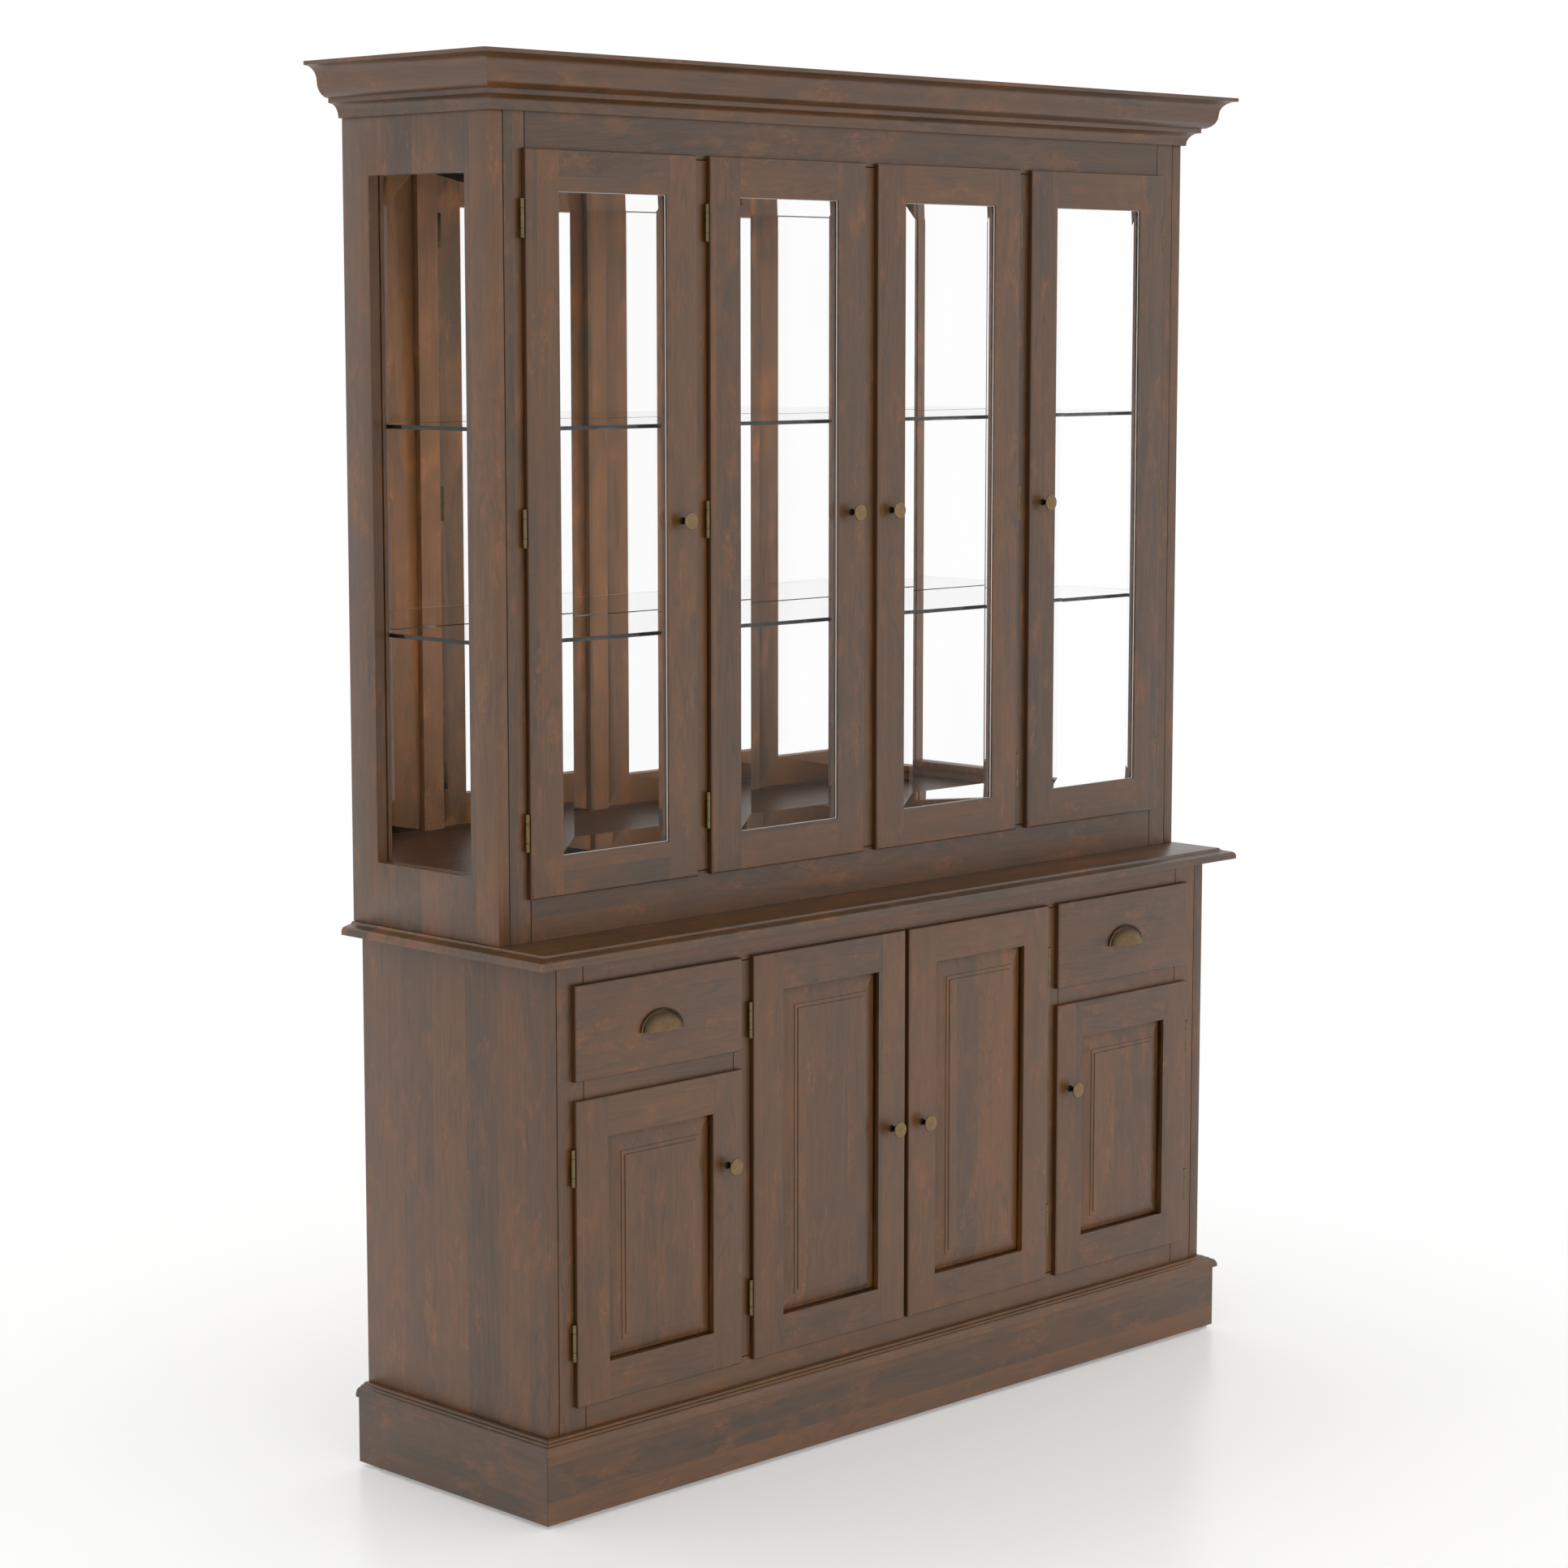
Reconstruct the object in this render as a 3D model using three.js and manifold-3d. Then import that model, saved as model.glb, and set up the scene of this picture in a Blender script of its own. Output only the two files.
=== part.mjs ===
import * as THREE from 'three';
import Module from 'manifold-3d';
import { mergeVertices } from 'three/addons/utils/BufferGeometryUtils.js';

// Dresser with a glazed hutch. Millimetres, Z up, front towards minus Y.

// Whole case
const baseWidth = 1524;
const baseDepth = 425;
const baseHeight = 842;
const hutchSideOverhang = 16;
const hutchSetback = 83;
const sideThickness = 22;
const frameThickness = 20;
const backThickness = 6;
const boardThickness = 19;
const seatGap = 0.3;
const cutOverrun = 5;

// Joint lines cut where boards meet
const grooveWidth = 2;
const grooveDepth = 2.4;

// Glides and plinth
const glideHeight = 7;
const glideDiameter = 21;
const glideInset = 14;
const plinthThickness = 20.2;
const plinthHeight = 105;
const capHeight = 20;
const capOverhang = 5.8;
const capLip = 2;
const capFlat = 4.5;
const capBeadWidth = 5.6;
const capBeadHeight = 3;
const capQuirk = 1.2;
const capBeads = 2;

// Countertop
const topThickness = 19;
const topSideOverhang = 40.6;
const topFrontOverhang = 42.2;
const topNoseEdge = 5.2;
const topNoseWidth = 8;
const topNoseHeight = 7.6;
const topSlopeWidth = 6;
const topSlopeRise = 1.6;
const topCoveWidth = 6.9;

// Base face frame
const baseStile = 52.5;
const baseMullion = 42;
const baseCentreMullion = 22;
const shortOpeningWidth = 307.5;
const baseOpeningFloor = 175.5;
const drawerRail = 41.5;
const drawerOpening = 132;
const baseTopRail = 41.5;

// Hutch face frame
const hutchStile = 41;
const hutchMullion = 41.5;
const hutchBottomRail = 71;
const hutchDoorOpening = 1082;
const hutchTopRail = 131;

// Doors and drawer fronts
const overlap = 6.5;
const shortOuterOverlap = 23;
const shortInnerOverlap = 10;
const lipThickness = 10;
const rearThickness = 11;
const rearClearance = 1.8;
const edgeRound = 3.6;
const doorStile = 62.5;
const doorRail = 60.5;

// Door glass
const glassThickness = 5;
const glassEdge = 2;
const glassBevel = 26;
const glassRabbet = 7;
const glassSetback = 6.8;

// Raised panel
const panelGroove = 8;
const tongueThickness = 5.5;
const tongueBackInset = 3;
const panelBevelWidth = 27;
const panelCove = 5;
const panelStep = 1.2;
const panelBand = 9;
const panelFieldDepth = 1.2;
const panelSlope = 6;

// Hinges
const barrelRadius = 3.3;
const barrelLength = 56.5;
const barrelProud = 5.5;
const barrelGap = 0.7;
const hingeInset = 100;
const pinRadius = 1.5;
const pinClearance = 0.4;
const knuckleGap = 0.4;
const leafThickness = 1.6;
const leafBite = 1;
const endKnuckleShare = 0.24;

// Knobs
const knobRadius = 13.3;
const knobLip = 3;
const knobDome = 1.1;
const knobNeckRadius = 4.3;
const knobFlareRadius = 5.6;
const knobFlareHeight = 3;
const knobProjection = 21;

// Cup pulls
const pullHalfWidth = 43.5;
const pullHeight = 36;
const pullProjection = 25;
const pullWall = 2;
const pullRim = 2.3;
const pullDrop = 0.5;

// Hutch interior
const windowStile = 61;
const windowBottom = 97;
const windowTop = 158;
const windowStop = 7;
const windowStopWidth = 11;
const sideGlassThickness = 3;
const sideGlassRabbet = 6;
const mirrorThickness = 4;
const shelfThickness = 6;
const lowerShelfRise = 367;
const shelfSpacing = 314;
const shelfFrontGap = 6;
const shelfBackGap = 7;
const pegRadius = 2.5;
const pegInset = 24;
const pegReach = 9;

// Crown
const crownHeight = 81;
const crownRise = 9;
const crownOverhang = 70;
const crownTopFillet = 6;
const crownTopLedge = 2;
const crownHollowWidth = 22;
const crownHollowHeight = 22.5;
const crownBulgeHeight = 24;
const crownLowFillet = 7;
const crownLowLedge = 2;
const crownBand = 25;
const crownFoot = 6.5;
const crownFootHeight = 1;

// Base interior and drawers
const baseShelfRise = 216.5;
const shelfSetback = 8;
const drawerSideGap = 6.5;
const drawerWall = 12;
const drawerBoxHeight = 108;
const drawerBoxLength = 372;
const drawerFloor = 6;
const drawerFloorRise = 8;
const drawerTopGap = 13;
const runnerHeight = 16;
const runnerClearance = 0.4;
const runnerReach = 6;
const runnerGrooveDepth = 7.5;
const runnerBackGap = 2;
const runnerFrontGap = 2;
const runnerRise = 44;

// Round forms
const arcSteps = 5;
const barrelSides = 12;
const pinSides = 8;
const knobSides = 26;
const glideSides = 24;
const domeSides = 28;
const domeRings = 18;
const rimSides = 8;

// Finishes
const finishes = {
  wood: { color: 0x6b584a, roughness: 0.45, metalness: 0 },
  interior: { color: 0x604a3a, roughness: 0.5, metalness: 0 },
  brass: { color: 0x7d6446, roughness: 0.38, metalness: 0.9 },
  glass: { color: 0xdfe8e6, roughness: 0.03, metalness: 0 },
  mirror: { color: 0xe8ecec, roughness: 0.02, metalness: 1 },
  glide: { color: 0xc9c9c7, roughness: 0.5, metalness: 0 },
};

const wasm = await Module();
wasm.setup();

// Geometry helpers

function toSolid(geometry) {
  const bare = geometry.clone();
  bare.deleteAttribute('normal');
  bare.deleteAttribute('uv');
  const merged = mergeVertices(bare);
  const triVerts = Uint32Array.from(merged.index.array);
  const vertProperties = Float32Array.from(merged.attributes.position.array);
  return new wasm.Manifold(new wasm.Mesh({ numProp: 3, vertProperties, triVerts }));
}

function toGeometry(solid) {
  const mesh = solid.getMesh();
  const geometry = new THREE.BufferGeometry();
  geometry.setAttribute('position', new THREE.BufferAttribute(Float32Array.from(mesh.vertProperties), 3));
  geometry.setIndex(new THREE.BufferAttribute(Uint32Array.from(mesh.triVerts), 1));
  geometry.computeVertexNormals();
  return geometry;
}

// A block between two corners
function block(x0, x1, y0, y1, z0, z1) {
  const geometry = new THREE.BoxGeometry(x1 - x0, y1 - y0, z1 - z0);
  geometry.translate((x0 + x1) / 2, (y0 + y1) / 2, (z0 + z1) / 2);
  return toSolid(geometry);
}

function joinAll(solids) {
  return solids.reduce((whole, piece) => whole.add(piece));
}

function cutAll(body, cuts) {
  return cuts.reduce((whole, cut) => whole.subtract(cut), body);
}

// A closed solid from rings that all have the same number of points
function loft(rings) {
  const count = rings[0].length;
  const positions = rings.flat().flatMap((point) => [point.x, point.y, point.z]);
  const index = [];
  for (let ring = 0; ring + 1 < rings.length; ring += 1) {
    for (let side = 0; side < count; side += 1) {
      const next = (side + 1) % count;
      const a = ring * count + side;
      const b = ring * count + next;
      const c = (ring + 1) * count + next;
      const d = (ring + 1) * count + side;
      index.push(a, b, c, a, c, d);
    }
  }
  const flat = rings[0].map((point) => new THREE.Vector2(point.u, point.v));
  const last = (rings.length - 1) * count;
  for (const [a, b, c] of THREE.ShapeUtils.triangulateShape(flat, [])) {
    index.push(a, c, b, last + a, last + b, last + c);
  }
  const geometry = new THREE.BufferGeometry();
  geometry.setAttribute('position', new THREE.Float32BufferAttribute(positions, 3));
  geometry.setIndex(index);
  return toSolid(geometry);
}

// A stack of rectangles, each drawn in from the outline by its inset, at its height
function steppedSlab(x0, x1, y0, y1, levels, drawn = [1, 1, 1, 1]) {
  const rings = levels.map(({ inset, height }) => {
    const left = x0 + inset * drawn[0];
    const right = x1 - inset * drawn[1];
    const front = y0 + inset * drawn[2];
    const back = y1 - inset * drawn[3];
    const corners = [[left, front], [right, front], [right, back], [left, back]];
    return corners.map(([x, y]) => ({ x, y, z: height, u: x, v: y }));
  });
  return loft(rings);
}

// The same stack lying on its back, so that its heights point to the front
function facingFront(solid, y) {
  return solid.rotate([90, 0, 0]).translate([0, y, 0]);
}

// A moulding: a profile of (out, up) points carried along mitred stations
function moulding(profile, stations) {
  const rings = stations.map(({ x, y, outX, outY }) => profile.map(([out, up]) => ({
    x: x + outX * out,
    y: y + outY * out,
    z: up,
    u: out,
    v: up,
  })));
  return loft(rings);
}

// Points of a quarter ellipse between two angles given in quarter turns
function quarterArc(centreOut, centreUp, radiusOut, radiusUp, from, to) {
  const points = [];
  for (let step = 0; step <= arcSteps; step += 1) {
    const angle = (from + ((to - from) * step) / arcSteps) * (Math.PI / 2);
    points.push([centreOut + radiusOut * Math.cos(angle), centreUp + radiusUp * Math.sin(angle)]);
  }
  return points;
}

function upright(radius, z0, z1, x, y, sides) {
  const geometry = new THREE.CylinderGeometry(radius, radius, z1 - z0, sides);
  geometry.rotateX(Math.PI / 2);
  geometry.translate(x, y, (z0 + z1) / 2);
  return toSolid(geometry);
}

function along(radius, x0, x1, y, z, sides) {
  const geometry = new THREE.CylinderGeometry(radius, radius, x1 - x0, sides);
  geometry.rotateZ(Math.PI / 2);
  geometry.translate((x0 + x1) / 2, y, z);
  return toSolid(geometry);
}

// A groove with a triangular section, along Z or X, cut into a front face
function uprightGroove(x, y, z0, z1) {
  const half = grooveWidth / 2;
  const ring = (z) => [
    { x: x - half, y: y - grooveDepth, z, u: x - half, v: y - grooveDepth },
    { x: x + half, y: y - grooveDepth, z, u: x + half, v: y - grooveDepth },
    { x: x + half, y, z, u: x + half, v: y },
    { x, y: y + grooveDepth, z, u: x, v: y + grooveDepth },
    { x: x - half, y, z, u: x - half, v: y },
  ];
  return loft([ring(z0), ring(z1)]);
}

function acrossGroove(x0, x1, y, z) {
  const half = grooveWidth / 2;
  const ring = (x) => [
    { x, y: y - grooveDepth, z: z - half, u: y - grooveDepth, v: z - half },
    { x, y, z: z - half, u: y, v: z - half },
    { x, y: y + grooveDepth, z, u: y + grooveDepth, v: z },
    { x, y, z: z + half, u: y, v: z + half },
    { x, y: y - grooveDepth, z: z + half, u: y - grooveDepth, v: z + half },
  ];
  return loft([ring(x0), ring(x1)]);
}

// Places worked out from the driving sizes
const baseHalf = baseWidth / 2;
const hutchHalf = baseHalf + hutchSideOverhang;
const baseInnerHalf = baseHalf - sideThickness;
const hutchInnerHalf = hutchHalf - sideThickness;
const baseFrameHalf = baseInnerHalf - baseStile;
const hutchFrameHalf = hutchInnerHalf - hutchStile;
const plinthTop = glideHeight + plinthHeight;
const capTop = plinthTop + capHeight;
const counterTop = baseHeight + topThickness;
const hutchFront = hutchSetback;
const frameBack = frameThickness;
const hutchFrameBack = hutchFront + frameThickness;
const hutchFloorTop = counterTop + hutchBottomRail;
const hutchCeiling = hutchFloorTop + hutchDoorOpening;
const hutchCaseTop = hutchCeiling + hutchTopRail;
const lowerShelfHeight = hutchFloorTop + lowerShelfRise;
const upperShelfHeight = lowerShelfHeight + shelfSpacing;
const mirrorFront = baseDepth - backThickness - seatGap - mirrorThickness;
const baseOpeningTop = baseHeight - baseTopRail;
const drawerFloorZ = baseOpeningTop - drawerOpening;
const shortDoorTop = drawerFloorZ - drawerRail;
const shortInner = baseFrameHalf - shortOpeningWidth;
const tallOuter = shortInner - baseMullion;
const tallInner = baseCentreMullion / 2;
const partitionCentre = (shortInner + tallOuter) / 2;
const partitionInner = partitionCentre - boardThickness / 2;
const partitionOuter = partitionCentre + boardThickness / 2;
const hutchOpeningWidth = (hutchFrameHalf * 2 - hutchMullion * 3) / 4;
const hutchPitch = hutchOpeningWidth + hutchMullion;
const baseKnobHeight = (baseOpeningFloor + baseOpeningTop) / 2;
const crownTop = hutchCaseTop + crownRise;
const crownBottom = crownTop - crownHeight;
const caseFloorTop = baseOpeningFloor;
const baseShelfHeight = caseFloorTop + baseShelfRise;
const runnerZ = drawerFloorZ + runnerRise;
const runnerStart = Math.max(rearThickness + drawerWall, frameBack) + runnerFrontGap;

const whole = new THREE.Group();
whole.position.y = -(baseDepth - topFrontOverhang) / 2;

function addPiece(name, solid, finish) {
  const material = new THREE.MeshStandardMaterial({ ...finishes[finish], name: finish });
  const mesh = new THREE.Mesh(toGeometry(solid), material);
  mesh.name = name;
  whole.add(mesh);
}

const sides = [{ side: 'left', sign: -1 }, { side: 'right', sign: 1 }];

// A block whose X range is measured outwards from the middle, on either side
function mirroredBlock(sign, inner, outer, y0, y1, z0, z1) {
  return block(Math.min(sign * inner, sign * outer), Math.max(sign * inner, sign * outer), y0, y1, z0, z1);
}

// Glides
function buildGlides() {
  const x = baseHalf + plinthThickness - glideInset;
  const rows = { front: glideInset - plinthThickness, back: baseDepth - glideInset - sideThickness };
  for (const { side, sign } of sides) {
    for (const [row, y] of Object.entries(rows)) {
      const disc = upright(glideDiameter / 2, 0, glideHeight - seatGap, sign * x, y, glideSides);
      addPiece(`glide_${row}_${side}`, disc, 'glide');
    }
  }
}

// Plinth boards with their cap moulding, mitred at the front corners
function plinthProfile() {
  const profile = [[seatGap, glideHeight], [plinthThickness, glideHeight], [plinthThickness, plinthTop]];
  const capEdge = plinthThickness + capOverhang;
  profile.push([capEdge, plinthTop]);
  const beads = [];
  for (let bead = 0; bead < capBeads; bead += 1) {
    const start = capFlat + bead * (capBeadWidth + capQuirk);
    const low = capTop - (bead + 1) * capBeadHeight;
    beads.unshift(...quarterArc(start, low, capBeadWidth, capBeadHeight, 0, 1));
  }
  const ovoloStart = capFlat + capBeads * (capBeadWidth + capQuirk);
  const ovoloTop = capTop - capBeads * capBeadHeight;
  const ovoloLow = plinthTop + capLip;
  profile.push(...quarterArc(ovoloStart, ovoloLow, capEdge - ovoloStart, ovoloTop - ovoloLow, 0, 1));
  profile.push(...beads, [seatGap, capTop]);
  return profile;
}

function buildPlinth() {
  const profile = plinthProfile();
  const shift = seatGap / 2;
  const front = [
    { x: baseHalf - shift, y: 0, outX: 1, outY: -1 },
    { x: -baseHalf + shift, y: 0, outX: -1, outY: -1 },
  ];
  addPiece('plinth_front', moulding(profile, front), 'wood');
  const left = [
    { x: -baseHalf, y: shift, outX: -1, outY: -1 },
    { x: -baseHalf, y: baseDepth, outX: -1, outY: 0 },
  ];
  addPiece('plinth_left', moulding(profile, left), 'wood');
  const right = [
    { x: baseHalf, y: baseDepth, outX: 1, outY: 0 },
    { x: baseHalf, y: shift, outX: 1, outY: -1 },
  ];
  addPiece('plinth_right', moulding(profile, right), 'wood');
}

// Base carcass
function baseSide(sign) {
  const panel = mirroredBlock(sign, baseInnerHalf, baseHalf, 0, baseDepth, glideHeight, baseHeight - seatGap);
  const rabbet = mirroredBlock(sign, baseInnerHalf - cutOverrun, baseInnerHalf + backThickness,
    baseDepth - backThickness - seatGap, baseDepth + cutOverrun, 0, baseHeight + cutOverrun);
  const groove = uprightGroove(sign * baseInnerHalf, 0, 0, baseHeight + cutOverrun);
  const reach = baseFrameHalf - drawerSideGap - runnerReach;
  const runner = mirroredBlock(sign, reach, baseInnerHalf + leafBite, runnerStart,
    baseDepth - backThickness - runnerBackGap, runnerZ, runnerZ + runnerHeight);
  return cutAll(panel, [rabbet, groove]).add(runner);
}

function partition(sign) {
  const back = baseDepth - backThickness - seatGap * 2;
  const top = baseHeight - seatGap;
  const panel = mirroredBlock(sign, partitionInner, partitionOuter, frameBack + seatGap, back,
    caseFloorTop + seatGap, top);
  const reach = shortInner + drawerSideGap + runnerReach;
  const runner = mirroredBlock(sign, partitionOuter - leafBite, reach, runnerStart,
    baseDepth - backThickness - runnerBackGap, runnerZ, runnerZ + runnerHeight);
  return panel.add(runner);
}

function buildBaseCarcass() {
  for (const { side, sign } of sides) {
    addPiece(`base_side_${side}`, baseSide(sign), 'wood');
    addPiece(`base_partition_${side}`, partition(sign), 'interior');
  }
  const inner = baseInnerHalf - seatGap;
  const back = baseDepth - backThickness - seatGap * 2;
  const bottom = block(-inner, inner, frameBack + seatGap, back, caseFloorTop - boardThickness, caseFloorTop);
  addPiece('base_bottom', bottom, 'interior');
  const backHalf = baseInnerHalf + backThickness - seatGap;
  const backPanel = block(-backHalf, backHalf, baseDepth - backThickness, baseDepth,
    caseFloorTop - boardThickness, baseHeight - seatGap);
  addPiece('base_back', backPanel, 'interior');
  const shelfFront = frameBack + shelfSetback;
  const level = [baseShelfHeight, baseShelfHeight + boardThickness];
  const centre = partitionInner - seatGap;
  addPiece('base_shelf_centre', block(-centre, centre, shelfFront, back, ...level), 'interior');
  for (const { side, sign } of sides) {
    const board = mirroredBlock(sign, partitionOuter + seatGap, inner, shelfFront, back, ...level);
    addPiece(`base_shelf_${side}`, board, 'interior');
  }
}

// Hinge halves. The barrel stands beside the door's edge, in front of the face frame
function barrelLevels(centre) {
  const low = centre - barrelLength / 2;
  const end = barrelLength * endKnuckleShare;
  const high = low + barrelLength;
  return { low, high, lowJoint: low + end, highJoint: high - end };
}

// The two end knuckles, their pin and the leaves that hold them to the face frame
function frameHinge(x, face, centre) {
  const y = face - barrelProud;
  const { low, high, lowJoint, highJoint } = barrelLevels(centre);
  const lower = upright(barrelRadius, low, lowJoint, x, y, barrelSides);
  const upper = upright(barrelRadius, highJoint, high, x, y, barrelSides);
  const pin = upright(pinRadius, low, high, x, y, pinSides);
  const half = leafThickness / 2;
  const lowerLeaf = block(x - half, x + half, y, face + leafBite, low, lowJoint);
  const upperLeaf = block(x - half, x + half, y, face + leafBite, highJoint, high);
  return joinAll([lower, upper, pin, lowerLeaf, upperLeaf]);
}

// The middle knuckle and the leaf that holds it to the door's edge
function doorHinge(x, edge, face, centre) {
  const y = face - barrelProud;
  const { lowJoint, highJoint } = barrelLevels(centre);
  const knuckle = upright(barrelRadius, lowJoint + knuckleGap, highJoint - knuckleGap, x, y, barrelSides);
  const reach = edge + Math.sign(edge - x) * (edgeRound + leafBite);
  const half = leafThickness / 2;
  const leaf = block(Math.min(x, reach), Math.max(x, reach), y - half, y + half,
    lowJoint + knuckleGap, highJoint - knuckleGap);
  const bore = upright(pinRadius + pinClearance, lowJoint, highJoint, x, y, pinSides);
  return knuckle.add(leaf).subtract(bore);
}

// Every front, with its outline, its face frame and the side that its hinges are on
function frontSpan(left, right, low, high, face, extra) {
  return { left, right, low, high, face, ...extra };
}

function hingeLine(front) {
  const out = barrelRadius + barrelGap;
  return front.hinge < 0 ? front.left - out : front.right + out;
}

function hingeCentres(front) {
  const low = front.low + hingeInset;
  const high = front.high - hingeInset;
  const count = front.hingeCount;
  return Array.from({ length: count }, (_, step) => low + ((high - low) * step) / (count - 1));
}

function hutchFronts() {
  const names = ['outer_left', 'inner_left', 'inner_right', 'outer_right'];
  return names.map((name, order) => {
    const left = -hutchFrameHalf + order * hutchPitch;
    const opening = { left, right: left + hutchOpeningWidth };
    return frontSpan(opening.left - overlap, opening.right + overlap, hutchFloorTop - overlap,
      hutchCeiling + overlap, hutchFront, {
        name: `hutch_door_${name}`,
        opening,
        hinge: order < 2 ? -1 : 1,
        hingeCount: 3,
        knobHeight: (hutchFloorTop + hutchCeiling) / 2,
      });
  });
}

function baseDoorFronts() {
  const fronts = [];
  for (const { side, sign } of sides) {
    const short = [sign * (shortInner - shortInnerOverlap), sign * (baseFrameHalf + shortOuterOverlap)];
    const shortHole = [sign * shortInner, sign * baseFrameHalf];
    fronts.push(frontSpan(Math.min(...short), Math.max(...short), baseOpeningFloor - overlap,
      shortDoorTop + overlap, 0, {
        name: `short_door_${side}`,
        opening: { left: Math.min(...shortHole), right: Math.max(...shortHole) },
        hinge: sign,
        hingeCount: 2,
        knobHeight: baseKnobHeight,
      }));
    const tall = [sign * (tallInner - overlap), sign * (tallOuter + overlap)];
    const tallHole = [sign * tallInner, sign * tallOuter];
    fronts.push(frontSpan(Math.min(...tall), Math.max(...tall), baseOpeningFloor - overlap,
      baseOpeningTop + overlap, 0, {
        name: `tall_door_${side}`,
        opening: { left: Math.min(...tallHole), right: Math.max(...tallHole) },
        hinge: sign,
        hingeCount: 2,
        knobHeight: baseKnobHeight,
      }));
  }
  return fronts;
}

// A front board: a lip with rounded edges over the frame and a rear part inside the opening
function frontBoard(front) {
  const levels = [{ inset: 0, height: 0 }];
  for (const [out, up] of quarterArc(0, lipThickness - edgeRound, edgeRound, edgeRound, 0, 1)) {
    levels.push({ inset: edgeRound - out, height: up });
  }
  const lip = steppedSlab(front.left, front.right, front.low, front.high, levels);
  const rear = block(front.opening.left + rearClearance, front.opening.right - rearClearance,
    front.face - leafBite, front.face + rearThickness,
    front.low + overlap + rearClearance, front.high - overlap - rearClearance);
  return facingFront(lip, front.face - seatGap).add(rear);
}

function sightHole(front, grow, y0, y1) {
  return block(front.left + doorStile - grow, front.right - doorStile + grow, y0, y1,
    front.low + doorRail - grow, front.high - doorRail + grow);
}

function doorFrame(front, innerCut) {
  const faceFront = front.face - seatGap - lipThickness;
  const faceBack = front.face + rearThickness;
  const through = sightHole(front, 0, faceFront - cutOverrun, faceBack + cutOverrun);
  const x = hingeLine(front);
  const edge = front.hinge < 0 ? front.left : front.right;
  const hinges = hingeCentres(front).map((centre) => doorHinge(x, edge, front.face, centre));
  return joinAll([cutAll(frontBoard(front), [through, innerCut]), ...hinges]);
}

// Bevelled glass held in a groove round the frame
function glazedDoor(front) {
  const faceFront = front.face - seatGap - lipThickness;
  const grooveFront = faceFront + glassSetback;
  const groove = sightHole(front, glassRabbet, grooveFront, grooveFront + glassThickness + seatGap * 2);
  addPiece(`${front.name}_frame`, doorFrame(front, groove), 'wood');
  const grow = glassRabbet - seatGap;
  const levels = [
    { inset: 0, height: 0 },
    { inset: 0, height: glassEdge },
    { inset: glassBevel, height: glassThickness },
  ];
  const pane = steppedSlab(front.left + doorStile - grow, front.right - doorStile + grow,
    front.low + doorRail - grow, front.high - doorRail + grow, levels);
  addPiece(`${front.name}_glass`, facingFront(pane, grooveFront + glassThickness + seatGap), 'glass');
}

// Raised panel whose thin tongue sits in a groove round the frame
function panelledDoor(front) {
  const tongueBack = front.face + rearThickness - tongueBackInset;
  const tongueFront = tongueBack - tongueThickness;
  const groove = sightHole(front, panelGroove, tongueFront - seatGap, tongueBack + seatGap);
  addPiece(`${front.name}_frame`, doorFrame(front, groove), 'wood');
  const grow = panelGroove - seatGap;
  const faceFront = front.face - seatGap - lipThickness;
  const fieldHeight = tongueBack - faceFront - panelFieldDepth;
  const bandHeight = fieldHeight - panelStep;
  const bevelTop = bandHeight - panelStep;
  const bevelLow = bevelTop - panelSlope;
  const margin = panelGroove;
  const bevelInset = margin + panelBevelWidth;
  const coveHeight = bevelLow - tongueThickness;
  const levels = [
    { inset: 0, height: 0 },
    { inset: 0, height: tongueThickness },
    { inset: margin + seatGap, height: tongueThickness },
  ];
  for (const [out, up] of quarterArc(0, tongueThickness, panelCove, coveHeight, 0, 1).slice(1)) {
    levels.push({ inset: margin + seatGap + panelCove - out, height: up });
  }
  levels.push({ inset: bevelInset, height: bevelTop });
  levels.push({ inset: bevelInset + seatGap, height: bandHeight });
  levels.push({ inset: bevelInset + panelBand, height: bandHeight });
  levels.push({ inset: bevelInset + panelBand + seatGap, height: fieldHeight });
  const panel = steppedSlab(front.left + doorStile - grow, front.right - doorStile + grow,
    front.low + doorRail - grow, front.high - doorRail + grow, levels);
  addPiece(`${front.name}_panel`, facingFront(panel, tongueBack), 'wood');
}

// Knob: a slim flared neck under a thin, slightly domed disc
function knobSolid(x, y, z) {
  const tip = knobProjection - seatGap;
  const discBack = tip - knobDome - knobLip;
  const outline = [
    [0, 0],
    [knobFlareRadius, 0],
    [knobNeckRadius, knobFlareHeight],
    [knobNeckRadius, discBack - knobLip],
    [knobFlareRadius, discBack],
    [knobRadius - knobDome, discBack],
    [knobRadius, discBack + knobLip / 2],
    [knobRadius - knobDome, discBack + knobLip],
    [0, tip],
  ].map(([radius, height]) => new THREE.Vector2(radius, height));
  const geometry = new THREE.LatheGeometry(outline, knobSides);
  geometry.rotateX(Math.PI);
  geometry.translate(x, y, z);
  return toSolid(geometry);
}

function addKnob(front) {
  const free = front.hinge < 0 ? front.right - doorStile / 2 : front.left + doorStile / 2;
  const face = front.face - seatGap * 2 - lipThickness;
  addPiece(`${front.name}_knob`, knobSolid(free, face, front.knobHeight), 'brass');
}

// Cup pull: half of a hollow dome with a rolled rim that lies on the drawer front
function ellipsoid(halfX, halfY, halfZ) {
  const geometry = new THREE.SphereGeometry(1, domeSides, domeRings);
  geometry.scale(halfX, halfY, halfZ);
  return toSolid(geometry);
}

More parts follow.
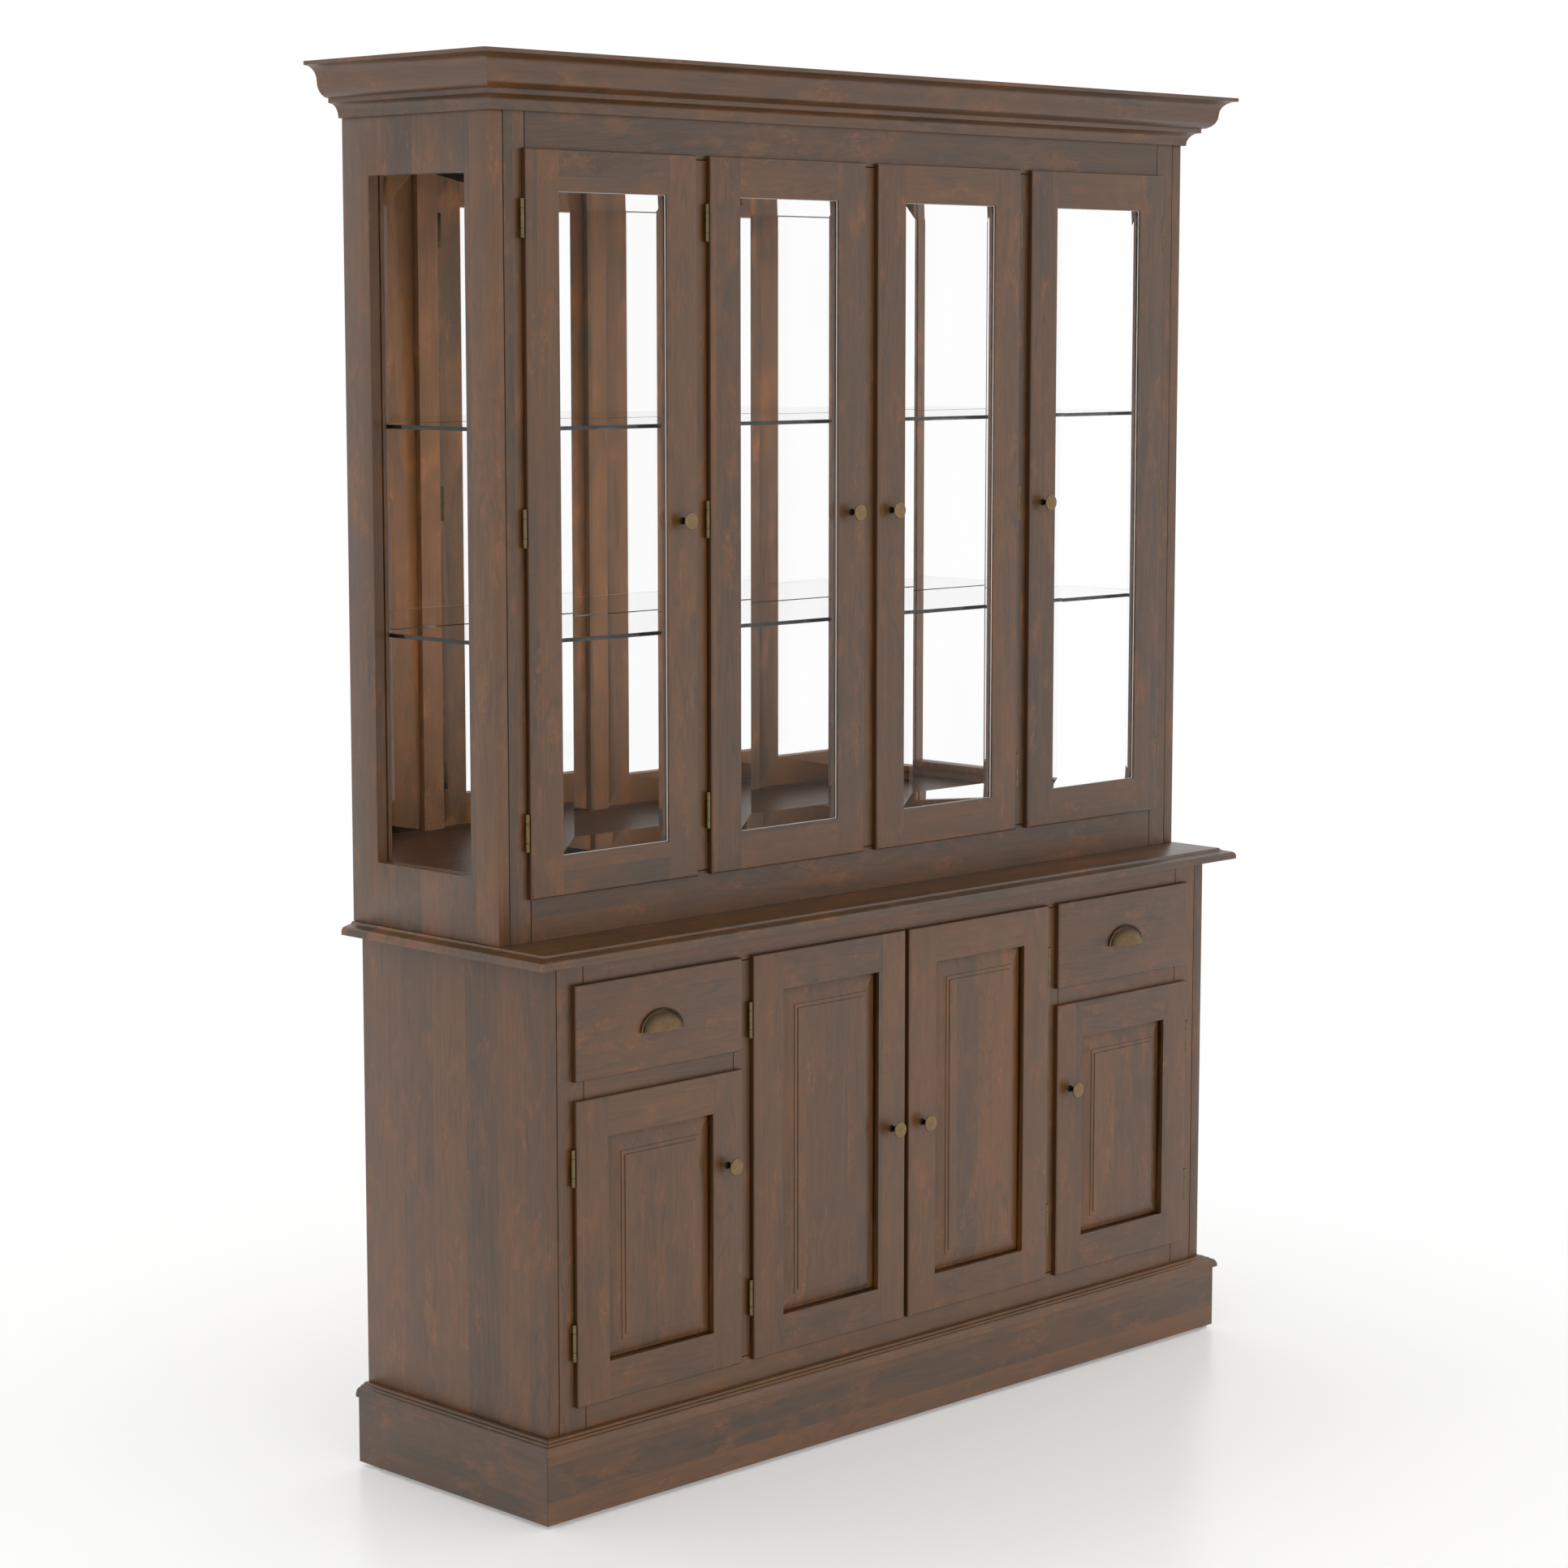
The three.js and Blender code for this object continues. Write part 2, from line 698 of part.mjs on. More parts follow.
function cupPull(x, face, z) {
  const domeHalf = pullHalfWidth - pullRim;
  const domeHeight = pullHeight - pullRim;
  const outer = ellipsoid(domeHalf, pullProjection, domeHeight);
  const inner = ellipsoid(domeHalf - pullWall, pullProjection - pullWall, domeHeight - pullWall);
  const wide = pullHalfWidth + cutOverrun;
  const deep = pullProjection + cutOverrun;
  const front = block(-wide, wide, -deep, -pullRim, 0, deep + pullHeight);
  const shell = outer.subtract(inner).intersect(front);
  const path = new THREE.TorusGeometry(1, 1, rimSides, domeSides);
  const rim = path.attributes.position;
  for (let point = 0; point < rim.count; point += 1) {
    const around = (Math.floor(point % (domeSides + 1)) / domeSides) * Math.PI * 2;
    const about = (Math.floor(point / (domeSides + 1)) / rimSides) * Math.PI * 2;
    const outX = domeHalf + pullRim * Math.cos(about) - pullRim / 2;
    const outZ = domeHeight + pullRim * Math.cos(about) - pullRim / 2;
    rim.setXYZ(point, outX * Math.cos(around), -pullRim - pullRim * Math.sin(about), outZ * Math.sin(around));
  }
  const lower = block(-wide, wide, -deep, deep, -pullDrop, deep + pullHeight);
  const ring = toSolid(path).intersect(lower);
  return shell.add(ring).translate([x, face, z]);
}

// Drawer box with grooves on its sides for the runners
function drawerBox(front) {
  const left = front.opening.left + drawerSideGap;
  const right = front.opening.right - drawerSideGap;
  const low = drawerFloorZ + drawerOpening - drawerTopGap - drawerBoxHeight;
  const high = low + drawerBoxHeight;
  const start = rearThickness + seatGap;
  const end = start + drawerBoxLength;
  const shell = block(left, right, start, end, low, high);
  const hollow = block(left + drawerWall, right - drawerWall, start + drawerWall, end - drawerWall,
    low + drawerFloorRise + drawerFloor, high + cutOverrun);
  const under = block(left + drawerWall, right - drawerWall, start + drawerWall, end - drawerWall,
    low - cutOverrun, low + drawerFloorRise);
  const grooveLow = runnerZ - runnerClearance;
  const grooveHigh = runnerZ + runnerHeight + runnerClearance;
  const grooves = [
    block(left - cutOverrun, left + runnerGrooveDepth, start + drawerWall, end + cutOverrun, grooveLow, grooveHigh),
    block(right - runnerGrooveDepth, right + cutOverrun, start + drawerWall, end + cutOverrun, grooveLow, grooveHigh),
  ];
  return cutAll(shell, [hollow, under, ...grooves]);
}

function buildDrawers() {
  for (const { side, sign } of sides) {
    const span = [sign * (shortInner - shortInnerOverlap), sign * (baseFrameHalf + shortOuterOverlap)];
    const hole = [sign * shortInner, sign * baseFrameHalf];
    const front = frontSpan(Math.min(...span), Math.max(...span), drawerFloorZ - overlap,
      baseOpeningTop + overlap, 0, {
        name: `drawer_${side}`,
        opening: { left: Math.min(...hole), right: Math.max(...hole) },
      });
    addPiece(`${front.name}_front`, frontBoard(front), 'wood');
    addPiece(`${front.name}_box`, drawerBox(front), 'interior');
    const centre = (front.left + front.right) / 2;
    const pullZ = (front.low + front.high - pullHeight) / 2;
    const face = -lipThickness - seatGap * 2;
    addPiece(`${front.name}_pull`, cupPull(centre, face, pullZ), 'brass');
  }
}

// Base face frame: one glued frame with six openings and the fixed halves of its hinges
function buildBaseFrame(fronts) {
  const outer = baseInnerHalf - seatGap;
  const low = glideHeight;
  const frame = block(-outer, outer, 0, frameThickness, low, baseHeight - seatGap);
  const holes = [];
  const grooves = [];
  for (const { sign } of sides) {
    const front = -cutOverrun;
    const back = frameThickness + cutOverrun;
    holes.push(mirroredBlock(sign, shortInner, baseFrameHalf, front, back, baseOpeningFloor, shortDoorTop));
    holes.push(mirroredBlock(sign, shortInner, baseFrameHalf, front, back, drawerFloorZ, baseOpeningTop));
    holes.push(mirroredBlock(sign, tallInner, tallOuter, front, back, baseOpeningFloor, baseOpeningTop));
    grooves.push(uprightGroove(sign * baseInnerHalf, 0, 0, baseHeight + cutOverrun));
    grooves.push(uprightGroove(sign * baseFrameHalf, 0, baseOpeningTop, baseHeight + cutOverrun));
    grooves.push(uprightGroove(sign * baseFrameHalf, 0, shortDoorTop, drawerFloorZ));
    grooves.push(uprightGroove(sign * shortInner, 0, shortDoorTop, drawerFloorZ));
    grooves.push(uprightGroove(sign * baseFrameHalf, 0, low - cutOverrun, baseOpeningFloor));
    const mullion = [sign * tallOuter, sign * shortInner];
    grooves.push(acrossGroove(Math.min(...mullion), Math.max(...mullion), 0, baseOpeningTop));
    grooves.push(acrossGroove(Math.min(...mullion), Math.max(...mullion), 0, baseOpeningFloor));
  }
  grooves.push(acrossGroove(-tallInner, tallInner, 0, baseOpeningTop));
  grooves.push(acrossGroove(-tallInner, tallInner, 0, baseOpeningFloor));
  const hinges = fronts.flatMap((front) => (
    hingeCentres(front).map((centre) => frameHinge(hingeLine(front), front.face, centre))));
  addPiece('base_face_frame', joinAll([cutAll(frame, [...holes, ...grooves]), ...hinges]), 'wood');
}

function buildCountertop() {
  const levels = [{ inset: 0, height: baseHeight }];
  const noseLow = baseHeight + topNoseEdge;
  const noseHigh = noseLow + topNoseHeight;
  for (const [out, up] of quarterArc(0, noseLow, topNoseWidth, topNoseHeight, 0, 1)) {
    levels.push({ inset: topNoseWidth - out, height: up });
  }
  const coveStart = topNoseWidth + topSlopeWidth;
  const coveRise = counterTop - noseHigh - topSlopeRise;
  for (const [out, up] of quarterArc(coveStart, counterTop, topCoveWidth, coveRise, -1, 0)) {
    levels.push({ inset: out, height: up });
  }
  const half = baseHalf + topSideOverhang;
  const slab = steppedSlab(-half, half, -topFrontOverhang, baseDepth, levels, [1, 1, 1, 0]);
  addPiece('countertop', slab, 'wood');
}

// Hutch side: a solid panel with a tall window, a rabbet for the glass and a stop round it
function hutchSide(sign) {
  const low = counterTop + seatGap;
  const panel = mirroredBlock(sign, hutchInnerHalf, hutchHalf, hutchFront, baseDepth, low, hutchCaseTop);
  const y0 = hutchFront + windowStile;
  const y1 = baseDepth - windowStile;
  const z0 = counterTop + windowBottom;
  const z1 = hutchCaseTop - windowTop;
  const grow = windowStopWidth;
  const stop = mirroredBlock(sign, hutchInnerHalf - windowStop, hutchInnerHalf + leafBite,
    y0 - grow, y1 + grow, z0 - grow, z1 + grow);
  const hole = mirroredBlock(sign, hutchInnerHalf - windowStop - cutOverrun, hutchHalf + cutOverrun, y0, y1, z0, z1);
  const slot = mirroredBlock(sign, hutchInnerHalf - seatGap, hutchInnerHalf + sideGlassThickness + seatGap,
    y0 - sideGlassRabbet, y1 + sideGlassRabbet, z0 - sideGlassRabbet, z1 + sideGlassRabbet);
  const rabbet = mirroredBlock(sign, hutchInnerHalf - cutOverrun, hutchInnerHalf + backThickness,
    baseDepth - backThickness - seatGap, baseDepth + cutOverrun, 0, hutchCaseTop + cutOverrun);
  const groove = uprightGroove(sign * hutchInnerHalf, hutchFront, 0, hutchCaseTop + cutOverrun);
  const body = cutAll(panel.add(stop), [hole, slot, rabbet, groove]);
  const pegs = [];
  for (const height of [lowerShelfHeight, upperShelfHeight]) {
    for (const y of [hutchFrameBack + pegInset, mirrorFront - pegInset]) {
      const inner = hutchInnerHalf - pegReach;
      const ends = [sign * inner, sign * (hutchInnerHalf + leafBite)];
      const z = height - seatGap - pegRadius;
      pegs.push(along(pegRadius, Math.min(...ends), Math.max(...ends), y, z, pinSides));
    }
  }
  return joinAll([body, ...pegs]);
}

function sideGlass(sign) {
  const grow = sideGlassRabbet - seatGap;
  return mirroredBlock(sign, hutchInnerHalf, hutchInnerHalf + sideGlassThickness,
    hutchFront + windowStile - grow, baseDepth - windowStile + grow,
    counterTop + windowBottom - grow, hutchCaseTop - windowTop + grow);
}

function buildHutchCarcass() {
  for (const { side, sign } of sides) {
    addPiece(`hutch_side_${side}`, hutchSide(sign), 'wood');
    addPiece(`side_glass_${side}`, sideGlass(sign), 'glass');
  }
  const inner = hutchInnerHalf - seatGap;
  const back = baseDepth - backThickness - seatGap;
  const start = hutchFrameBack + seatGap;
  const floor = block(-inner, inner, start, back, hutchFloorTop - boardThickness, hutchFloorTop);
  addPiece('hutch_floor', floor, 'wood');
  const top = block(-inner, inner, start, back, hutchCeiling, hutchCeiling + boardThickness);
  addPiece('hutch_top', top, 'wood');
  const backHalf = hutchInnerHalf + backThickness - seatGap;
  const backPanel = block(-backHalf, backHalf, baseDepth - backThickness, baseDepth,
    counterTop + seatGap, hutchCaseTop);
  addPiece('hutch_back', backPanel, 'interior');
  const mirror = block(-inner, inner, mirrorFront, mirrorFront + mirrorThickness,
    hutchFloorTop + seatGap, hutchCeiling - seatGap);
  addPiece('hutch_mirror', mirror, 'mirror');
  const shelfHalf = hutchInnerHalf - windowStop - seatGap;
  const shelfFront = hutchFrameBack + shelfFrontGap;
  const shelfBack = mirrorFront - shelfBackGap;
  const shelves = { lower: lowerShelfHeight, upper: upperShelfHeight };
  for (const [name, height] of Object.entries(shelves)) {
    const shelf = block(-shelfHalf, shelfHalf, shelfFront, shelfBack, height, height + shelfThickness);
    addPiece(`glass_shelf_${name}`, shelf, 'glass');
  }
}

function buildHutchFrame(fronts) {
  const outer = hutchInnerHalf - seatGap;
  const low = counterTop + seatGap;
  const frame = block(-outer, outer, hutchFront, hutchFrameBack, low, hutchCaseTop);
  const holes = fronts.map(({ opening }) => block(opening.left, opening.right,
    hutchFront - cutOverrun, hutchFrameBack + cutOverrun, hutchFloorTop, hutchCeiling));
  const grooves = [];
  for (const { sign } of sides) {
    grooves.push(uprightGroove(sign * hutchInnerHalf, hutchFront, 0, hutchCaseTop + cutOverrun));
    grooves.push(uprightGroove(sign * hutchFrameHalf, hutchFront, hutchCeiling, hutchCaseTop + cutOverrun));
    grooves.push(uprightGroove(sign * hutchFrameHalf, hutchFront, 0, hutchFloorTop));
  }
  for (const { opening } of fronts.slice(1)) {
    const start = opening.left - hutchMullion;
    grooves.push(acrossGroove(start, opening.left, hutchFront, hutchFloorTop));
    grooves.push(acrossGroove(start, opening.left, hutchFront, hutchCeiling));
  }
  const hinges = fronts.flatMap((front) => (
    hingeCentres(front).map((centre) => frameHinge(hingeLine(front), front.face, centre))));
  addPiece('hutch_face_frame', joinAll([cutAll(frame, [...holes, ...grooves]), ...hinges]), 'wood');
}

// Crown: a foot, a small hollow, a fillet, a long wave and the top fillet, mitred at both corners
function crownProfile() {
  const up = (drop) => crownTop - drop;
  const hollowLow = crownTopFillet + crownHollowHeight;
  const bulgeLow = hollowLow + crownBulgeHeight;
  const filletLow = bulgeLow + crownLowFillet;
  const hollowOut = crownOverhang - crownTopLedge;
  const waist = hollowOut - crownHollowWidth;
  const bandOut = crownBand - crownLowLedge;
  const footTop = crownHeight - crownFootHeight;
  return [
    [seatGap, crownBottom],
    [crownFoot, crownBottom],
    ...quarterArc(bandOut, up(footTop), bandOut - crownFoot, footTop - filletLow, 2, 1),
    [crownBand, up(filletLow)],
    [crownBand, up(bulgeLow)],
    ...quarterArc(crownBand, up(hollowLow), waist - crownBand, crownBulgeHeight, -1, 0).slice(1),
    ...quarterArc(hollowOut, up(hollowLow), crownHollowWidth, crownHollowHeight, 2, 1).slice(1),
    [crownOverhang, up(crownTopFillet)],
    [crownOverhang, crownTop],
    [seatGap, crownTop],
  ];
}

function buildCrown() {
  const stations = [
    { x: hutchHalf, y: baseDepth, outX: 1, outY: 0 },
    { x: hutchHalf, y: hutchFront, outX: 1, outY: -1 },
    { x: -hutchHalf, y: hutchFront, outX: -1, outY: -1 },
    { x: -hutchHalf, y: baseDepth, outX: -1, outY: 0 },
  ];
  addPiece('crown', moulding(crownProfile(), stations), 'wood');
}

// Assembly
const hutchDoors = hutchFronts();
const baseDoors = baseDoorFronts();
buildGlides();
buildPlinth();
buildBaseCarcass();
buildBaseFrame(baseDoors);
buildCountertop();
buildHutchCarcass();
buildHutchFrame(hutchDoors);
buildCrown();
hutchDoors.forEach(glazedDoor);
baseDoors.forEach(panelledDoor);
[...hutchDoors, ...baseDoors].forEach(addKnob);
buildDrawers();

export default whole;
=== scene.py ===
"""A dresser with a glazed hutch: dark stained wood, bevelled glass, mirror back, aged brass."""

import logging
import math
from contextlib import contextmanager
from dataclasses import dataclass
from enum import Enum
from functools import cache, reduce
from typing import Any, Iterator, Optional, Sequence, Union

import bpy
from mathutils import Matrix, Vector


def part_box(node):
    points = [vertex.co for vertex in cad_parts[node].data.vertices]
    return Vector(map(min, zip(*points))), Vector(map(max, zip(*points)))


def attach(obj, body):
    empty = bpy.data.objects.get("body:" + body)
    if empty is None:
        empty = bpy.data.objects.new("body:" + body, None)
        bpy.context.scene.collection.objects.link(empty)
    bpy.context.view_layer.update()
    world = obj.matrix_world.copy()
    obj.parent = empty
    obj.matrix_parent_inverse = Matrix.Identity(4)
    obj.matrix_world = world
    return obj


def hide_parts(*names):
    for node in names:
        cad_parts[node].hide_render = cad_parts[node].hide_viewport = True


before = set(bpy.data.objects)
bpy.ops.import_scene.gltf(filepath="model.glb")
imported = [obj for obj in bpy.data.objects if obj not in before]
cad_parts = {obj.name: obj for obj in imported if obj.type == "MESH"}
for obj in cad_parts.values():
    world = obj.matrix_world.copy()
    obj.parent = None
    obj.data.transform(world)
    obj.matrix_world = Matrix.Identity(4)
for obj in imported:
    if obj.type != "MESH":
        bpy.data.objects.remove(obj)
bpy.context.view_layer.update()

LOG = logging.getLogger("dresser")
SIDES = ("left", "right")
CARCASS = "carcass"
FAR = 3.0  # Beyond every edge of the dresser, in metres.
QUARTER_TURN = math.pi / 2.0

Colour = tuple[float, float, float, float]
Number = Union["Value", float]
Part = bpy.types.Object
Node = bpy.types.Node
Socket = bpy.types.NodeSocket
Material = bpy.types.Material

WHITE: Colour = (1.0, 1.0, 1.0, 1.0)


# Shader sums


class Value:
    """A number that a finish works out at each point, written as a Python sum."""

    def __init__(self, recipe: "Recipe", socket: Socket) -> None:
        """Keeps the recipe and the output socket that holds the number."""
        self.recipe = recipe
        self.socket = socket

    def step(self, operation: str, *terms: Number, clamp: bool = False) -> "Value":
        """Adds one Math node with its inputs in order, kept between 0 and 1 where clamped."""
        node = self.recipe.add("Math", dict(enumerate(terms)), operation=operation, use_clamp=clamp)
        return Value(self.recipe, node.outputs[0])

    def __add__(self, other: Number) -> "Value":
        """Adds a number."""
        return self.step("ADD", self, other)

    def __radd__(self, other: Number) -> "Value":
        """Adds to a number."""
        return self.step("ADD", other, self)

    def __sub__(self, other: Number) -> "Value":
        """Takes a number away."""
        return self.step("SUBTRACT", self, other)

    def __rsub__(self, other: Number) -> "Value":
        """Is taken away from a number."""
        return self.step("SUBTRACT", other, self)

    def __mul__(self, other: Number) -> "Value":
        """Multiplies by a number."""
        return self.step("MULTIPLY", self, other)

    def __abs__(self) -> "Value":
        """Drops the sign."""
        return self.step("ABSOLUTE", self)

    def above(self, limit: Number) -> "Value":
        """Gives 1 where the number is above the limit."""
        return self.step("GREATER_THAN", self, limit)

    def below(self, limit: Number) -> "Value":
        """Gives 1 where the number is below the limit."""
        return self.step("LESS_THAN", self, limit)

    def most(self, other: Number) -> "Value":
        """Gives the larger of two numbers."""
        return self.step("MAXIMUM", self, other)

    def least(self, other: Number) -> "Value":
        """Gives the smaller of two numbers."""
        return self.step("MINIMUM", self, other)

    def wave(self) -> "Value":
        """Gives a wave between 0 and 1 that repeats with each whole number."""
        return self.step("SINE", self * math.tau) * 0.5 + 0.5

    def power(self, exponent: float) -> "Value":
        """Raises the number to a power."""
        return self.step("POWER", self, exponent)

    def within(self) -> "Value":
        """Keeps the number between 0 and 1."""
        return self.step("ADD", self, 0.0, clamp=True)

    def ease(self, low: float, high: float) -> "Value":
        """Rises smoothly from 0 at the low limit to 1 at the high one."""
        node = self.recipe.add("MapRange", {"Value": self, "From Min": low, "From Max": high},
                               interpolation_type="SMOOTHSTEP")
        return Value(self.recipe, node.outputs[0])


class Noise(Enum):
    """A noise: its repeats in a metre on x, y and z, its layers, their strength and its twist."""

    RINGS = (9.0, 9.0, 0.95, 1.6, 0.45, 0.0)
    SWAY = (60.0, 60.0, 5.0, 1.0, 0.5, 0.0)
    FIGURE = (8.0, 8.0, 3.0, 1.0, 0.5, 0.0)
    FIBRE = (560.0, 560.0, 22.0, 3.0, 0.68, 0.0)
    STREAK = (130.0, 130.0, 3.2, 3.0, 0.62, 0.0)
    CLOUD = (14.0, 14.0, 5.5, 3.0, 0.6, 0.4)
    MOTTLE = (55.0, 55.0, 24.0, 2.0, 0.55, 0.6)
    SPOTS = (165.0, 165.0, 85.0, 3.0, 0.66, 0.35)
    PATCHES = (24.0, 24.0, 10.0, 2.0, 0.6, 0.0)
    GUM = (260.0, 260.0, 14.0, 1.5, 0.5, 0.0)
    PATINA = (140.0, 140.0, 140.0, 3.0, 0.6, 0.0)
    BRUSHED = (1400.0, 1400.0, 900.0, 2.0, 0.5, 0.0)
    FILM = (9.0, 9.0, 4.0, 3.0, 0.5, 0.0)
    GLEAM = (16.0, 2.0, 1.0, 1.0, 0.5, 0.0)
    BLOOM = (3.0, 3.0, 2.0, 4.0, 0.6, 0.0)
    SCUFFS = (320.0, 320.0, 320.0, 3.0, 0.5, 0.0)
    DUST = (2.0, 2.0, 2.0, 3.0, 0.5, 0.0)


class Recipe:
    """The shader nodes of a material or of the world."""

    def __init__(self, owner: Union[Material, bpy.types.World]) -> None:
        """Empties the nodes of their owner.

        Args:
            owner: The material or world.
        """
        owner.use_nodes = True
        self.owner = owner
        self.tree = owner.node_tree
        self.tree.nodes.clear()

    def add(self, kind: str, sockets: Optional[dict[Any, Any]] = None, **settings: Any) -> Node:
        """Adds a node of any kind.

        Args:
            kind: The node's type, without the prefix that all types share.
            sockets: The values or links of its inputs, by name or order.
            settings: Its settings, set before its inputs.

        Returns:
            The node.
        """
        node = self.tree.nodes.new(f"ShaderNode{kind}")
        for key, setting in settings.items():
            setattr(node, key, setting)
        for key, given in (sockets or {}).items():
            source = given.socket if isinstance(given, Value) else given
            if isinstance(source, Socket):
                self.tree.links.new(source, node.inputs[key])
            else:
                node.inputs[key].default_value = source
        return node

    def spot(self) -> Socket:
        """Gives the point in the piece's own frame."""
        return self.add("TexCoord").outputs["Object"]

    def place(self) -> dict[str, Value]:
        """Gives the x, y and z of the point in the piece's own frame."""
        split = self.add("SeparateXYZ", {0: self.spot()})
        return {axis: Value(self, split.outputs[order]) for order, axis in enumerate("xyz")}

    def vector(self, x: Number, y: Number, z: Number) -> Socket:
        """Puts three numbers together."""
        return self.add("CombineXYZ", {0: x, 1: y, 2: z}).outputs[0]

    def noise(self, spot: Socket, noise: Noise) -> Value:
        """Adds a noise pattern.

        Args:
            spot: The point that it is read at.
            noise: The pattern.

        Returns:
            The noise, mostly between 0.25 and 0.75.
        """
        *repeats, detail, roughness, twist = noise.value
        scaled = self.add("VectorMath", {0: spot, 1: tuple(repeats)}, operation="MULTIPLY")
        node = self.add("TexNoise", {"Vector": scaled.outputs[0], "Scale": 1.0, "Detail": detail,
                                     "Roughness": roughness, "Distortion": twist},
                        noise_dimensions="3D")
        return Value(self, node.outputs[0])

    def ramp(self, share: Value, places: Sequence[float], colours: Sequence[Colour]) -> Socket:
        """Runs a number through a row of colours.

        Args:
            share: The number.
            places: Where each colour lies between 0 and 1, from low to high.
            colours: The colours.

        Returns:
            The colour's socket.
        """
        node = self.add("ValToRGB", {0: share})
        stops = node.color_ramp.elements
        while len(stops) < len(places):
            stops.new(1.0)
        for stop, place, colour in zip(stops, places, colours):
            stop.position = place
            stop.color = colour
        return node.outputs[0]

    def blend(self, share: Number, first: Any, second: Any) -> Socket:
        """Mixes two colours, with the share that the second one takes."""
        return self.add("Mix", {0: share, 6: first, 7: second}, data_type="RGBA").outputs[2]

    def bump(self, height: Value, strength: float, depth: float) -> Socket:
        """Gives the normal of a fine relief, from its height, strength and depth."""
        sockets = {"Strength": strength, "Distance": depth, "Height": height}
        return self.add("Bump", sockets).outputs[0]

    def mix(self, share: Any, first: Node, second: Node) -> Node:
        """Mixes two shaders, with the share that the second one takes."""
        return self.add("MixShader", {0: share, 1: first.outputs[0], 2: second.outputs[0]})

    def let_light_through(self, shader: Node, tint: Colour) -> Node:
        """Lets the soft light that falls on other surfaces pass through this one.

        Args:
            shader: The shader that is seen and mirrored.
            tint: The colour that passing light takes.

        Returns:
            The mixed shader.
        """
        clear = self.add("BsdfTransparent", {"Color": tint})
        path = self.add("LightPath")
        for ray in ("Is Diffuse Ray", "Is Shadow Ray"):
            shader = self.mix(path.outputs[ray], shader, clear)
        return shader

    def surface(self, shader: Node) -> Any:
        """Sends a shader to the owner's surface and gives the owner, a material or a world."""
        self.add(f"Output{type(self.owner).__name__}", {"Surface": shader.outputs[0]})
        return self.owner


# Finishes


class Grain(Enum):
    """The way that a board's fibres run: the axes across, through and along it."""

    UPRIGHT = "xyz"
    UPRIGHT_SIDE = "yxz"
    ACROSS = "zyx"
    FLAT = "yzx"
    DEEP = "zxy"


@dataclass(frozen=True)
class Region:
    """A rectangle on the face of a board, in metres."""

    left: float
    right: float
    low: float
    high: float

    def mask(self, across: Value, up: Value) -> Value:
        """Gives 1 inside the rectangle, from the place across and the height."""
        inside = across.above(self.left) * across.below(self.right)
        return inside * up.above(self.low) * up.below(self.high)

    def depth(self, across: Value, up: Value) -> Value:
        """Gives how far inside the nearest edge a point lies, from its place across and height."""
        sides = (across - self.left).least(self.right - across)
        return sides.least(up - self.low).least(self.high - up)


@dataclass(frozen=True)
class Seams:
    """Lines of painted shade along edges and grooves, each at its own distance inside a rectangle.
    """

    rim: Region
    insets: tuple[float, ...] = (0.0,)
    width: float = 0.0011
    share: float = 0.85


@dataclass(frozen=True)
class Stain:
    """The colours that a stain gives to the wood, from its darkest to its warmest, and the colour
    of painted shade lines.
    """

    deep: Colour
    plain: Colour
    warm: Colour
    glow: Colour
    fleck: Colour
    gum: Colour
    # Colour of the painted shade along board edges and panel grooves.
    seam: Colour


WALNUT_STAIN = Stain(
    deep=(0.043, 0.0205, 0.0055, 1.0),
    plain=(0.078, 0.0300, 0.0052, 1.0),
    warm=(0.102, 0.0375, 0.0050, 1.0),
    glow=(0.146, 0.0480, 0.0052, 1.0),
    fleck=(0.250, 0.0700, 0.0080, 1.0),
    gum=(0.018, 0.0070, 0.0016, 1.0),
    seam=(0.052, 0.0165, 0.0020, 1.0),
)
# A copy of the walnut stain darkened all over as painted shade, for the hutch floor inside the
# case.
PAINTED_SHADE_STAIN = Stain(
    deep=(0.018, 0.0085, 0.0028, 1.0),
    plain=(0.030, 0.0125, 0.0030, 1.0),
    warm=(0.040, 0.0155, 0.0030, 1.0),
    glow=(0.056, 0.0195, 0.0030, 1.0),
    fleck=(0.085, 0.0270, 0.0040, 1.0),
    gum=(0.010, 0.0042, 0.0012, 1.0),
    seam=(0.020, 0.0075, 0.0015, 1.0),
)
STAIN_PLACES = (0.0, 0.38, 0.66, 1.0)
TONE_SHARES = {Noise.STREAK: 0.64, Noise.CLOUD: 1.00, Noise.FIBRE: 0.85, Noise.MOTTLE: 0.40}
RING_COUNT, RING_SWAY, RING_SHARE = 30.0, 0.45, 0.10
FIGURE_LIMITS, LINE_FLOOR, LINE_SHARPNESS, LINE_SHARE = (0.40, 0.62), 0.25, 7.0, 0.36
HAZE_LIMITS, PATCH_IN_HAZE, HAZE_SHARE = (0.50, 0.86), 1.10, 0.46
FLECK_LIMITS, PATCH_IN_FLECKS, FLECK_SHARE = (0.60, 0.86), 0.90, 0.44
GUM_LIMITS, GUM_SHARE = (0.70, 0.80), 0.45
GLOSS_RANGE = 0.10
PORES, PORE_STRENGTH, PORE_DEPTH = (0.55, 0.45, 0.35, 0.5), 0.20, 0.0006
BACK_LIGHT: Colour = (0.95, 0.95, 0.95, 1.0)
RAIL_SHIFT = 0.37
BRASS_COLOUR: Colour = (0.130, 0.101, 0.050, 1.0)
# Painted shade on the cup pull's shell just in front of its rolled rim.
RIM_SHADE_COLOUR: Colour = (0.034, 0.027, 0.017, 1.0)
RIM_SHADE_SHARE = 0.85


@dataclass(frozen=True)
class Finish:
    """A finish, under the name of its material."""

    name: str

    def shader(self, recipe: Recipe) -> Node:
        """Adds the nodes of the finish and gives its shader."""
        raise NotImplementedError

    @cache
    def build(self) -> Material:
        """Makes the material, only once for each finish."""
        recipe = Recipe(bpy.data.materials.new(self.name))
        return recipe.surface(self.shader(recipe))


